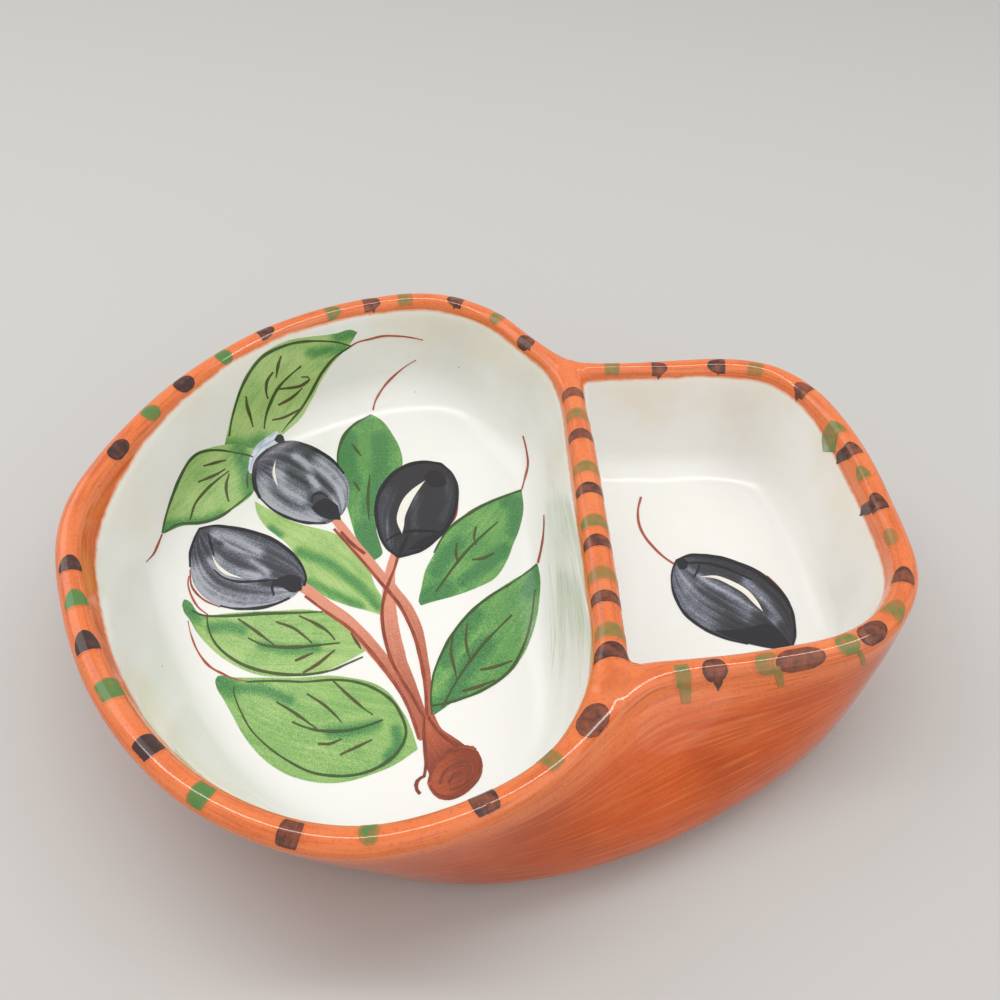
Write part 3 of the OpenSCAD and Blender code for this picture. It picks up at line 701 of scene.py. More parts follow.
GLINTS = {
    "low_glint": (
        [(212, 555), (215, 564), (220, 571), (229, 576), (244, 579)],
        [(212, 555), (217, 563), (223, 569), (231, 574), (244, 579)],
    ),
    "high_glint": (
        [(276, 460), (273, 468), (273, 477), (278, 487)],
        [(276, 460), (275, 468), (276, 477), (278, 487)],
    ),
    "mid_glint": (
        [(425, 481), (412, 490), (403, 500), (398, 512), (397, 522), (402, 534)],
        [(425, 481), (416, 494), (410, 505), (405, 517), (404, 526), (402, 534)],
    ),
}
SMALL_GLINT = (
    [(700, 577), (716, 576), (733, 582), (747, 590), (757, 601), (763, 612)],
    [(700, 577), (716, 579), (731, 586), (744, 594), (754, 604), (763, 612)],
)
# Each line: its width in pixels, and its path.
OLIVE_LINES = [
    (4, [(199, 529), (212, 526), (226, 527), (248, 531), (271, 539), (288, 550), (300, 563), (306, 577),
         (304, 586)]),
    (3, OLIVES["low_olive"][1][:4]),
    (3, [(220, 606), (237, 609), (260, 608), (276, 604), (290, 598)]),
    (3, [(277, 582), (272, 586), (274, 596)]),
    (2.5, [(214, 570), (224, 578), (240, 582), (262, 581), (276, 580)]),
    (2.5, [(208, 533), (211, 545), (214, 556)]),
    (5, [(268, 449), (257, 460), (254, 475), (255, 487), (260, 498)]),
    (3, [(260, 498), (273, 510), (291, 519), (308, 523), (326, 523)]),
    (3.5, OLIVES["high_olive"][0][3:9]),
    (2.5, [(312, 503), (313, 496), (320, 493), (328, 497)]),
    (4, [(441, 464), (426, 462), (408, 465), (393, 474), (384, 485), (378, 497), (376, 512), (379, 532),
         (386, 547), (398, 557)]),
    (4, [(441, 464), (452, 474), (457, 488), (456, 506), (449, 524), (437, 538), (420, 551), (398, 557)]),
    (3, [(386, 541), (398, 534), (414, 531), (430, 531), (441, 533)]),
    (3, [(398, 556), (403, 546), (408, 535)]),
]
OLIVE_BLOTS = [
    ([(270, 583), (282, 577), (292, 575), (301, 578)], [(270, 583), (283, 588), (292, 593), (302, 590)]),
    ([(311, 508), (319, 501), (328, 499), (338, 506)], [(311, 508), (318, 515), (328, 519), (341, 520)]),
    ([(274, 440), (278, 434), (283, 436)], [(274, 440), (280, 444), (285, 442)]),
    ([(424, 476), (431, 471), (440, 472), (446, 480)], [(424, 476), (428, 484), (437, 487), (447, 484)]),
    ([(410, 549), (420, 540), (434, 534), (447, 527)], [(410, 549), (424, 547), (437, 538), (449, 527)]),
]
SMALL_OLIVE_LINES = [
    (4, SMALL_OLIVE[0]),
    (3, SMALL_OLIVE[1][:9]),
    (2.5, [(678, 566), (690, 563), (710, 564), (732, 571), (752, 580)]),
    (2.5, [(700, 562), (698, 570), (694, 577)]),
]
SMALL_OLIVE_BLOTS = [
    ([(715, 631), (735, 630), (752, 627), (768, 624), (780, 632), (790, 645)],
     [(715, 631), (732, 638), (750, 643), (767, 647), (780, 649), (790, 646)]),
    ([(676, 562), (682, 558), (688, 562)], [(676, 562), (680, 570), (687, 568)]),
]
# Where the wash was lifted and the slip greys it: the reach in pixels, and the path.
OLIVE_SHEENS = [
    (11, [(216, 534), (236, 540), (258, 552)]),
    (7, [(226, 546), (246, 556), (268, 573)]),
    (12, [(214, 561), (224, 571), (240, 577), (256, 578)]),
    (22, [(196, 574), (208, 595), (236, 606), (266, 606), (292, 597)]),
    (17, [(262, 484), (269, 503), (288, 516), (314, 521)]),
    (13, [(278, 472), (284, 486), (302, 497)]),
    (17, [(322, 462), (341, 482), (342, 504)]),
    (8, [(296, 456), (309, 470), (316, 488)]),
    (15, [(386, 492), (381, 514), (390, 542)]),
    (9, [(418, 496), (414, 514), (415, 531)]),
    (9, [(446, 482), (450, 500), (442, 520)]),
]
SMALL_OLIVE_SHEENS = [
    (30, [(682, 578), (687, 600), (704, 620)]),
    (15, [(700, 580), (726, 592), (748, 612)]),
    (10, [(746, 582), (764, 600), (776, 620)]),
]
BLUE_PATCH = (
    [(248, 472), (250, 457), (256, 446), (265, 438), (277, 431)],
    [(256, 476), (261, 464), (268, 455), (276, 447), (284, 441)],
)
WALL_STREAKS = [
    [(552, 478), (557, 515), (561, 555), (564, 600), (565, 650)],
    [(557, 486), (563, 525), (568, 570), (572, 620), (573, 668)],
    [(561, 496), (569, 540), (575, 585), (579, 630), (580, 678)],
    [(554, 530), (559, 575), (562, 620), (561, 668), (554, 708)],
    [(567, 530), (574, 575), (580, 620), (583, 660)],
    [(571, 552), (577, 596), (581, 640), (580, 690)],
    [(549, 560), (553, 610), (553, 660), (546, 706)],
]

# The rim dabs, as traced
# Each dab: its middle in pixels, its length along the rim in mm, and the shape that the brush left.
RIM_DARK = [
    ((120, 450), 8.5, "oval"), ((184, 383), 7.5, "oval"), ((265, 331), 7, "dome"),
    ((371, 303), 7, "dome"), ((456, 300), 7, "dome"), ((525, 342), 7, "oval"),
    ((70, 563), 6.5, "dome"), ((86, 641), 7.5, "dome"), ((148, 745), 7, "block"),
    ((289, 833), 6, "block"), ((484, 800), 7, "block"), ((593, 720), 10, "oval"),
    ((659, 369), 6, "dome"), ((717, 366), 7, "dome"), ((802, 389), 6.5, "dome"),
    ((850, 450), 6.5, "dome"), ((875, 503), 7.5, "dome"), ((903, 575), 6.5, "dome"),
    ((873, 632), 9, "oval"), ((801, 660), 13, "oval"), ((715, 670), 6.5, "oval"),
]
RIM_GREEN = [
    ((151, 412), 6.5, "oval"), ((224, 356), 6, "oval"), ((333, 312), 6.5, "dome"),
    ((405, 298), 6.5, "block"), ((497, 317), 6, "oval"), ((76, 598), 7, "dome"),
    ((110, 688), 7.5, "block"), ((200, 794), 6, "block"), ((369, 831), 5, "oval"),
    ((550, 758), 5.5, "block"), ((612, 367), 6, "block"), ((755, 371), 6, "block"),
    ((834, 430), 7, "dome"), ((859, 475), 6.5, "dome"), ((887, 539), 6.5, "oval"),
    ((896, 609), 7, "dome"), ((848, 643), 7, "oval"), ((768, 664), 7, "oval"),
    ((683, 676), 5, "block"),
]
DIVIDER_DARK = [
    ((572, 393), 6.2, "bar"), ((577, 435), 6.2, "bar"), ((587, 489), 6, "bar"), ((594, 542), 6, "bar"),
    ((600, 598), 5.4, "bar"), ((607, 652), 6.4, "bar"),
]
DIVIDER_GREEN = [
    ((571, 416), 7, "bar"), ((582, 468), 6.6, "bar"), ((591, 522), 6.6, "bar"), ((598, 575), 6.4, "bar"),
    ((604, 632), 6.4, "bar"),
]
# Pointed ends and runs where the brush left the rim: the width in pixels, and the path.
DARK_TAILS = [
    (6, [(659, 368), (659, 373), (658, 380)]), (6, [(717, 365), (718, 369), (718, 375)]),
    (6, [(800, 389), (798, 394), (796, 402)]), (9, [(717, 672), (718, 679), (718, 691)]),
    (6, [(488, 803), (489, 808), (489, 814)]), (5, [(372, 304), (373, 308), (374, 313)]),
    (5, [(456, 300), (455, 304), (454, 309)]), (5, [(526, 342), (528, 346), (530, 351)]),
    (11, [(848, 449), (842, 456), (837, 464)]), (11, [(873, 503), (867, 509), (860, 516)]),
]
GREEN_TAILS = [
    (12, [(683, 671), (685, 686), (686, 703)]), (8, [(776, 667), (779, 676), (781, 686)]),
    (5, [(848, 653), (857, 651), (862, 657), (864, 665)]), (15, [(836, 423), (830, 436), (829, 452)]),
]
# How far across the photograph the large well's dabs go, and the fuller ones on the far left, in pixels.
LARGE_WELL_END = 610
FAR_LEFT_END = 250
# The crown's middle, from how far outside it a dab is cast onto the clay, and near where it else lands.
CROWN_Z = 41.6 * MM
ABOVE_CROWN = 14 * MM
NEAR_CROWN = 3 * MM
TAIL_RISE = 0.03 * MM
# In degrees: how far a dab or a bar reaches down each side of the crown, the least and the most of that,
# and the steps in which the way across the rim is looked for.
DAB_ARC = 55
BAR_ARC = 74
LEAN_LIMITS = (5, 172)
CROWN_TURN = 3
# How blunt the ends of a dab are, from 0 for a point.
BLUNT_END = 0.06
# How far each shape reaches along the rim, as shares of its length: away from the viewer, and towards them.
DAB_SHAPES = {
    "oval": lambda dome: (-0.5 * dome, 0.5 * dome),
    "dome": lambda dome: (-0.42, dome - 0.5),
    "block": lambda dome: (-0.32 - 0.14 * dome, 0.32 + 0.14 * dome),
    "bar": lambda dome: (-0.5 + 0.22 * dome, -0.1 + 0.6 * dome),
}
WELL_MIDDLES = {
    "large_well": Vector((-36.77, 0.92, 0)) * MM, "small_well": Vector((66.35, 1.97, 0)) * MM,
}


def crown_under(pixel, skin, body_skin):
    """The place at a pixel, the crown's middle line below it, and the way across the rim there."""
    place, _ = look(pixel, skin)
    heart = Vector((place.x, place.y, CROWN_Z))
    best = None
    for turn in range(0, 180, CROWN_TURN):
        way = Vector((math.cos(math.radians(turn)), math.sin(math.radians(turn)), 0))
        out = body_skin.ray_cast(heart, way)[0]
        back = body_skin.ray_cast(heart, -way)[0]
        if out is None or back is None:
            continue
        if best is None or (out - back).length < best[0]:
            best = ((out - back).length, (out + back) / 2, way)
    if best is None:
        return place, heart, (heart - WELL_MIDDLES["large_well"]).normalized()
    return place, best[1], best[2]


def over_crown(brush, pixel, body_skin, well, length, shape):
    """A dab over the crown: a place for each share across the rim and along it."""
    touch, heart, way = crown_under(pixel, brush.skin, body_skin)
    middle = WELL_MIDDLES[well]
    if way.dot(Vector((heart.x - middle.x, heart.y - middle.y, 0))) < 0:
        way = -way
    side = Vector((-way.y, way.x, 0))
    if side.y < 0:
        side = -side
    if shape == "bar":
        lean, arc = 90, BAR_ARC
    else:
        lean, arc = math.degrees(math.atan2(touch.z - heart.z, (touch - heart).dot(way))), DAB_ARC
    start, end = max(LEAN_LIMITS[0], lean - arc), min(LEAN_LIMITS[1], lean + arc)

    def at(u, v):
        turn = math.radians(start + (end - start) * u)
        ray = way * math.cos(turn) + Vector((0, 0, math.sin(turn)))
        low, high = DAB_SHAPES[shape](math.sqrt(max(BLUNT_END, 1 - (2 * u - 1) ** 2)))
        base = heart + side * (low + (high - low) * v) * length
        place, normal, _, _ = brush.skin.ray_cast(base + ray * ABOVE_CROWN, -ray)
        if place is None:
            place, normal, _, _ = brush.skin.find_nearest(base + ray * NEAR_CROWN)
        return place, normal

    return at


# Colours and finishes
# The crowns' lighter orange is painted light, where the light from above falls on them.
CLAY_PAINTED_LIGHT = "E9783B"
CLAY = "D65E24"
CLAY_DEEP = "B04614"
CLAY_PALE = "F09A64"
CLAY_BARE = "A8603C"
SLIP = "F1F1ED"
SLIP_WARM = "EDE6D6"
SLIP_PINK = "EBB79E"
SPECK = "6E6252"
LEAF_LIGHT = "B4D07E"
LEAF_MID = "80B056"
LEAF_DEEP = "4A903E"
LEAF_TIP = "2E7A33"
LEAF_LINE = "33561F"
LEAF_LINE_RED = "5C4A24"
OLIVE_PALE = "A6A9B3"
OLIVE_GREY = "656A79"
OLIVE_DARK = "30323C"
OLIVE_BLACK = "0D0D18"
LINE_BLACK = "1B1B22"
STEM_PINK = "E08F70"
STEM_RED = "AE4E26"
STUB_RED = "88340F"
LINE_RED = "B4553A"
LINE_BROWN = "7A3014"
DAB_DARK = "1C1217"
DAB_THIN = "4A241E"
DAB_GREEN = "34803A"
DAB_OLIVE = "6E7030"
PATCH_BLUE = "C3D4E6"
PATCH_DEEP = "8FA6C6"
STREAK_GREY = "DEDFD0"
STREAK_GREEN = "B2B89E"
FLOOR_WHITE = "C6C5C2"
AIR_WHITE = "EAE9E8"
# A clear lead glaze bends light a little more than window glass, so its lines of light are stronger.
GLAZE_IOR = 1.6


def linear(text):
    """An sRGB hex colour as the linear one that shaders use."""
    parts = [int(text[start:start + 2], 16) / 255 for start in (0, 2, 4)]
    return [part / 12.92 if part <= 0.04045 else ((part + 0.055) / 1.055) ** 2.4 for part in parts] + [1]


def put(tree, kind, inputs=(), out=0, **settings):
    """Adds one node with its settings, joins or fills its inputs, and returns one output.
    Text is a hex colour."""
    node = tree.nodes.new(kind)
    for setting, value in settings.items():
        setattr(node, setting, value)
    for name, value in inputs.items() if isinstance(inputs, dict) else enumerate(inputs):
        if isinstance(value, bpy.types.NodeSocket):
            tree.links.new(value, node.inputs[name])
        else:
            node.inputs[name].default_value = linear(value) if isinstance(value, str) else value
    return node.outputs[out] if node.outputs else None


def start_material(name):
    """An empty material and its node tree."""
    material = bpy.data.materials.new(name)
    material.use_nodes = True
    material.node_tree.nodes.clear()
    return material, material.node_tree


def wash_over(tree, colour, other, value, low, high, most=1.0):
    """Goes from one colour to the other, or most of the way, as a value climbs from low to high."""
    reach = {0: value, 1: low, 2: high, 4: most}
    share = put(tree, "ShaderNodeMapRange", reach, interpolation_type="SMOOTHSTEP")
    return put(tree, "ShaderNodeMix", {0: share, 6: colour, 7: other}, 2, data_type="RGBA")


def grain(tree, size, detail=3.0, stretch=(1, 1, 1)):
    """Cloudy noise whose patches are size mm across, or stretch times that."""
    where = put(tree, "ShaderNodeTexCoord", out="Object")
    scale = [1 / (size * MM * part) for part in stretch]
    scaled = put(tree, "ShaderNodeMapping", {"Vector": where, "Scale": scale})
    return put(tree, "ShaderNodeTexNoise", {"Vector": scaled, "Scale": 1.0, "Detail": detail}, "Fac")


def stroke_grain(tree, along, across, detail=3.0, path="brush"):
    """Noise drawn out along the stroke, no two strokes alike. Sizes are in mm, or shares of the stroke
    where the path is its share map."""
    tone = put(tree, "ShaderNodeAttribute", out="Fac", attribute_name="tone")
    laid = put(tree, "ShaderNodeUVMap", uv_map=path)
    moved = put(tree, "ShaderNodeVectorMath", [tone, (31, 57, 0), laid], operation="MULTIPLY_ADD")
    scaled = put(tree, "ShaderNodeMapping", {"Vector": moved, "Scale": [1 / along, 1 / across, 1]})
    return put(tree, "ShaderNodeTexNoise", {"Vector": scaled, "Scale": 1.0, "Detail": detail}, "Fac")


def weigh(tree, *parts):
    """Adds values up, each times its own weight."""
    total = 0.0
    for value, weight in parts:
        total = put(tree, "ShaderNodeMath", [value, weight, total], operation="MULTIPLY_ADD")
    return total


def ground(tree):
    """Clay and slip as they lie below the glaze, with painted light on the clay's crowns: one colour for
    every piece at that place.
    """
    where = put(tree, "ShaderNodeTexCoord", out="Object")
    depth = put(tree, "ShaderNodeAttribute", out="Fac", attribute_name="slip_depth")
    height = put(tree, "ShaderNodeSeparateXYZ", [where], 2)
    # Clouds from the fire 26 mm wide, and painted light on the crowns: they are lighter where the light
    # from above falls on them.
    clay = wash_over(tree, CLAY, CLAY_DEEP, grain(tree, 26.0), 0.35, 0.7, 0.8)
    clay = wash_over(tree, clay, CLAY_PAINTED_LIGHT, height, 35 * MM, 41 * MM)
    # Grit is 0.2 mm; it is drawn 0.8 mm wide so that it shows in the render.
    clay = wash_over(tree, clay, CLAY_DEEP, grain(tree, 0.8, 4.0), 0.5, 0.75, 0.4)
    # Wiping lines run level round the wall, dark ones 0.5 mm and pale hair lines 0.6 mm apart.
    clay = wash_over(tree, clay, CLAY_DEEP, grain(tree, 0.5, 4.0, (36, 36, 1)), 0.46, 0.7, 0.45)
    clay = wash_over(tree, clay, CLAY_PALE, grain(tree, 0.6, 4.0, (30, 30, 1)), 0.46, 0.74, 0.3)
    # The slip is thinner and warmer up the walls, with clouds of 24 mm and level brush marks 2 mm apart.
    thin = weigh(tree, (depth, -0.02), (grain(tree, 24.0), 1.6))
    slip = wash_over(tree, SLIP, SLIP_WARM, thin, 0.35, 0.95, 0.8)
    slip = wash_over(tree, slip, SLIP_WARM, grain(tree, 2.0, 4.0, (9, 9, 1)), 0.5, 0.8, 0.15)
    # Iron specks 0.5 mm wide, from cells of 8 mm of which a quarter hold one. Few reach the surface.
    dots = put(tree, "ShaderNodeTexVoronoi", {"Vector": where, "Scale": 1 / (8 * MM)})
    chance = put(tree, "ShaderNodeSeparateColor", [dots.node.outputs["Color"]])
    chosen = put(tree, "ShaderNodeMath", [chance, 0.74], operation="GREATER_THAN")
    speck = weigh(tree, (dots, -1.0), (chosen, 1.0))
    slip = wash_over(tree, slip, SPECK, speck, 0.955, 0.975, 0.75)
    # Where it ends the clay shows pink through it, along an edge that wanders less than 1 mm.
    line = weigh(tree, (depth, 1.0), (grain(tree, 3.0), 1.0))
    edge = wash_over(tree, clay, SLIP_PINK, line, -0.1, 0.8)
    return wash_over(tree, edge, slip, line, 0.45, 1.3)


def glaze(tree, colour, dull=0.0, strength=0.5):
    """The clear glaze over everything: a sharp shine on the crowns, softer where it sank into the slip."""
    # It settled in ripples 7 mm long, a fifth of 0.07 mm high. Its gloss changes over patches of 5 mm.
    ripples = {"Height": grain(tree, 7.0, 1.0), "Strength": 0.2, "Distance": 0.07 * MM}
    depth = put(tree, "ShaderNodeAttribute", out="Fac", attribute_name="slip_depth")
    sunk = put(tree, "ShaderNodeMapRange", [depth, 0.0, 6.0, 0.06, 0.19], interpolation_type="SMOOTHSTEP")
    finish = {
        "Base Color": colour,
        "Roughness": weigh(tree, (sunk, 1.0), (grain(tree, 5.0), 0.1), (dull, 1.0)),
        "IOR": GLAZE_IOR,
        "Specular IOR Level": strength,
        "Normal": put(tree, "ShaderNodeBump", ripples),
    }
    put(tree, "ShaderNodeOutputMaterial", [put(tree, "ShaderNodeBsdfPrincipled", finish)])


def glazed_redware():
    """Pressed red clay under clear glaze: warm orange with hair lines, and a bare matt foot."""
    material, tree = start_material("glazed_redware")
    height = put(tree, "ShaderNodeSeparateXYZ", [put(tree, "ShaderNodeTexCoord", out="Object")], 2)
    # The glaze was wiped off the foot up to about 1 mm, unevenly, in waves of 6 mm.
    ragged = weigh(tree, (height, 1.0), (grain(tree, 6.0), 0.6 * MM))
    bare = put(tree, "ShaderNodeMapRange", [ragged, 1.2 * MM, 0.6 * MM], interpolation_type="SMOOTHSTEP")
    colour = put(tree, "ShaderNodeMix", {0: bare, 6: ground(tree), 7: CLAY_BARE}, 2, data_type="RGBA")
    # The outer wall got less glaze than the crown, so it mirrors less.
    thin = put(tree, "ShaderNodeMapRange", [height, 28 * MM, 40 * MM, 0.2, 0.5])
    glaze(tree, colour, weigh(tree, (bare, 0.6)), thin)
    return material


def glazed_slip():
    """Poured white slip under the glaze: cream, warmer up the walls, a few iron specks."""
    material, tree = start_material("glazed_cream_slip")
    glaze(tree, ground(tree))
    return material


def laid_on(tree, pigment, ragged, soft, thin):
    """Pigment over the ground: its edge soaks in over soft mm, nibbled by ragged mm in bites of 1 mm,
    and thin is how much of the ground it hides."""
    edge = put(tree, "ShaderNodeAttribute", out="Fac", attribute_name="edge")
    bite = weigh(tree, (edge, 1.0), (grain(tree, 1.0), -ragged))
    return wash_over(tree, ground(tree), pigment, bite, 0.0, soft, thin)


def leaf_wash():
    """Copper green washed on wet: streaks along the leaf, and darker pools where the brush rested."""
    material, tree = start_material("copper_green_wash")
    tone = put(tree, "ShaderNodeAttribute", out="Fac", attribute_name="tone")
    wet = put(tree, "ShaderNodeAttribute", out="Fac", attribute_name="second")
    # The pigment's own grains are 0.1 mm; they are drawn at 0.3 mm. The brush streaks are 1.5 mm wide,
    # and the clouds 10 mm.
    fine = grain(tree, 0.3, 2.0)
    streaks = stroke_grain(tree, 16.0, 1.5)
    shade = weigh(tree, (grain(tree, 10.0), 0.35), (fine, 0.5), (streaks, 0.36), (tone, 0.38), (wet, 0.44))
    colour = wash_over(tree, LEAF_LIGHT, LEAF_MID, shade, 0.5, 0.86)
    colour = wash_over(tree, colour, LEAF_DEEP, shade, 0.74, 1.08)
    colour = wash_over(tree, colour, LEAF_TIP, shade, 1.0, 1.28)
    thin = put(tree, "ShaderNodeMapRange", [fine, 0.3, 0.6, 0.88, 1.0], interpolation_type="SMOOTHSTEP")
    glaze(tree, laid_on(tree, colour, 0.15, 0.24, thin))
    return material


def olive_wash():
    """Manganese black washed on and lifted with a damp brush: greys run from end to end of each olive."""
    material, tree = start_material("manganese_black_wash")
    tone = put(tree, "ShaderNodeAttribute", out="Fac", attribute_name="tone")
    lifted = put(tree, "ShaderNodeAttribute", out="Fac", attribute_name="second")
    # Grains of 0.1 mm are drawn at 0.5 mm. The lifting strokes are about a tenth of the olive wide, and
    # what they left is cloudy at 3 mm.
    streaks = stroke_grain(tree, 1.2, 0.08, 3.0, "share")
    remains = put(tree, "ShaderNodeMath", [lifted, grain(tree, 3.0)], operation="MULTIPLY")
    shade = weigh(
        tree, (streaks, 0.8), (grain(tree, 0.5, 4.0), 0.5), (tone, 1.0), (lifted, -0.46), (remains, 0.2),
    )
    colour = wash_over(tree, OLIVE_PALE, OLIVE_GREY, shade, 0.2, 0.44)
    colour = wash_over(tree, colour, OLIVE_DARK, shade, 0.4, 0.62)
    colour = wash_over(tree, colour, OLIVE_BLACK, shade, 0.58, 0.84)
    glaze(tree, laid_on(tree, colour, 0.0, 0.1, 0.98))
    return material


def stem_wash():
    """Thin iron red, pink where it is thinnest, rust brown in the cut stub."""
    material, tree = start_material("iron_pink_wash")
    tone = put(tree, "ShaderNodeAttribute", out="Fac", attribute_name="tone")
    along = put(tree, "ShaderNodeSeparateXYZ", [put(tree, "ShaderNodeUVMap", uv_map="share")])
    # Grains of 0.1 mm are drawn at 0.5 mm, the brush streaks at their own 0.8 mm.
    fine = grain(tree, 0.5, 4.0)
    pooled = put(tree, "ShaderNodeMapRange", [along, 0.15, 1.0], interpolation_type="SMOOTHSTEP")
    shade = weigh(tree, (tone, 0.9), (fine, 0.5), (stroke_grain(tree, 14.0, 0.8), 0.3), (pooled, 0.4))
    colour = wash_over(tree, STEM_PINK, STEM_RED, shade, 0.45, 0.95)
    colour = wash_over(tree, colour, STUB_RED, shade, 0.9, 1.2)
    thin = put(tree, "ShaderNodeMapRange", [tone, 0.2, 0.6, 0.95, 1.0])
    glaze(tree, laid_on(tree, colour, 0.0, 0.1, thin))
    return material


def line_paint(name, one, other):
    """A fine brush line, fully loaded, so nothing shows through it."""
    material, tree = start_material(name)
    tone = put(tree, "ShaderNodeAttribute", out="Fac", attribute_name="tone")
    # Bristle marks 0.6 mm apart run along the line.
    shade = weigh(tree, (stroke_grain(tree, 5.0, 0.6), 0.7), (grain(tree, 0.6), 0.3), (tone, 0.4))
    glaze(tree, wash_over(tree, one, other, shade, 0.5, 0.9))
    return material


def dab_paint(name, thin, thick, strength, pool):
    """One touch of a loaded brush on the rim. pool says how much thicker its edge dried than its middle."""
    material, tree = start_material(name)
    edge = put(tree, "ShaderNodeAttribute", out="Fac", attribute_name="edge")
    tone = put(tree, "ShaderNodeAttribute", out="Fac", attribute_name="tone")
    pooled = put(tree, "ShaderNodeMapRange", [edge, 1.3, 0.2], interpolation_type="SMOOTHSTEP")
    # Bristle marks are about a twentieth of the dab wide, the clouds of pigment 2.2 mm.
    bristles = stroke_grain(tree, 0.8, 0.06, 2.0, "share")
    shade = weigh(tree, (grain(tree, 2.2), 0.6), (bristles, 0.25), (pooled, pool), (tone, 0.35))
    colour = wash_over(tree, thin, thick, shade, 0.4, 0.72)
    cover = put(tree, "ShaderNodeMapRange", [shade, 0.34, 0.7, *strength], interpolation_type="SMOOTHSTEP")
    glaze(tree, laid_on(tree, colour, 0.35, 0.3, cover))
    return material


def soft_paint(name, one, other, strength, ragged, soft, along, across):
    """A nearly dry brush dragged over the slip: broken streaks, along mm long and across mm wide."""
    material, tree = start_material(name)
    streak = stroke_grain(tree, along, across, 4.0)
    reach = [streak, 0.42, 0.68, *strength]
    cover = put(tree, "ShaderNodeMapRange", reach, interpolation_type="SMOOTHSTEP")
    glaze(tree, laid_on(tree, wash_over(tree, one, other, streak, 0.4, 0.7), ragged, soft, cover))
    return material


def pale_floor():
    """Matt painted board: plain and pale."""
    material, tree = start_material("matt_painted_board")
    finish = {"Base Color": FLOOR_WHITE, "Roughness": 0.6}
    put(tree, "ShaderNodeOutputMaterial", [put(tree, "ShaderNodeBsdfPrincipled", finish)])
    return material


# Studio
# Places and sizes are in metres here. Each lamp has its place, its aim, its size and its power in watts.
# A long thin tube draws the sharp white lines along the crowns, and the boxes only fill.
FLOOR_REACH = 12
LAMPS = {
    "tube": ((0, 0.1, 0.8), (0, 0, 0), (1.3, 0.06), 2.7),
    "front_right": ((0.7, -0.75, 0.9), (0, 0, 0.02), (1.4, 1.4), 3.2),
    "left_back": ((-0.8, 0.5, 0.8), (0, 0, 0.02), (0.8, 0.8), 2.2),
}
AIR_STRENGTH = 0.83


def make_floor():
    """A plain floor far larger than any view."""
    bm = bmesh.new()
    bmesh.ops.create_grid(bm, x_segments=1, y_segments=1, size=FLOOR_REACH)
    floor = finish_mesh(bm, "studio_floor")
    floor.data.materials.append(pale_floor())


def softbox(name, at, aim, size, power):
    """A soft white lamp that looks at its aim."""
    data = bpy.data.lights.new(name, "AREA")
    data.shape = "RECTANGLE"
    data.size, data.size_y = size
    data.energy = power
    lamp = bpy.data.objects.new(name, data)
    lamp.location = at
    lamp.rotation_euler = (Vector(aim) - Vector(at)).to_track_quat("-Z", "Y").to_euler()
    bpy.context.scene.collection.objects.link(lamp)


def set_studio():
    """Floor, lamps and the light of a white room."""
    make_floor()
    for name, lamp in LAMPS.items():
        softbox(name, *lamp)
    world = bpy.data.worlds.new("studio_air")
    world.use_nodes = True
    air = world.node_tree.nodes["Background"]
    air.inputs["Color"].default_value = linear(AIR_WHITE)
    air.inputs["Strength"].default_value = AIR_STRENGTH
    bpy.context.scene.world = world
    bpy.context.scene.view_settings.view_transform = "Standard"


# Making
# How high each kind of stroke lies on the slip, so that what was painted later covers what came before.
STREAK_LIFT = 0.04 * MM
LEAF_LIFT = 0.05 * MM
DAB_LIFT = 0.07 * MM
STEM_LIFT = 0.08 * MM
PATCH_LIFT = 0.08 * MM
ACCENT_LIFT = 0.1 * MM
OLIVE_LIFT = 0.11 * MM
LEAF_LINE_LIFT = 0.11 * MM
TENDRIL_LIFT = 0.12 * MM
STEM_LINE_LIFT = 0.14 * MM
OLIVE_LINE_LIFT = 0.16 * MM
GLINT_LIFT = 0.19 * MM
# How loaded the brush was, and how much more with each stroke of a kind.
STEM_TONE = 0.15
NECK_TONE = 0.5
STUB_TONE = 0.62
STEM_LINE_TONE = 0.5
STUB_RING_TONE = 0.7
LINE_TONE = 0.2
LINE_STEP = 0.07
OLIVE_LINE_STEP = 0.1
STREAK_TONE = 0.1
STREAK_STEP = 0.13
TAIL_TONE = 0.2
TAIL_STEP = 0.05
# The same for the dabs, with a fuller brush on the far left. They differ by up to the spread, out of order.
DAB_TONE = 0.1
FAR_LEFT_TONE = 0.6
DAB_SPREAD = 0.35
DAB_STEP = 0.37
# Widths of tapered strokes at their start and end, as shares of that in the middle.
OLIVE_LINE_ENDS = (0.5, 0.6)
TAIL_START = 0.8
DARK_TAIL_END = 0.1
GREEN_TAIL_END = 0.8


def settle(piece, material, slot, *nodes):
    """Gives a piece its finish, its body and the CAD nodes it stands for."""
    piece.data.materials.clear()
    piece.data.materials.append(material)
    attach(piece, "root")
    if nodes:
        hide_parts(*nodes)


def draw(brush, lines, widths, tone=LINE_TONE):
    """Draws several fine lines, each in a little more loaded colour."""
    for number, line in enumerate(lines):
        brush.stroke(ribbon(line, widths), tone + LINE_STEP * number)


def paint_leaves(well_skin, slip_line):
    """The eight leaves and their fine lines."""
    washes = Brush("leaf_washes", well_skin, slip_line, LEAF_LIFT)
    lines = Brush("leaf_lines", well_skin, slip_line, LEAF_LINE_LIFT)
    for name, leaf in LEAVES.items():
        # The far left leaf crosses the top leaf and hides it up to its own edge.
        washes.stroke(
            fill(leaf["left"], leaf["right"]), leaf["tone"], marks=marks_along(leaf["darks"]),
            cell=LEAF_CELL, crisp=name == "far_left_leaf",
        )
        draw(lines, leaf["lines"], LEAF_LINE_WIDTHS)
    settle(washes.done(), leaf_wash(), "leaf_colour", "large_well_leaves")
    settle(lines.done(), line_paint("copper_and_iron_line", LEAF_LINE, LEAF_LINE_RED), "leaf_colour")


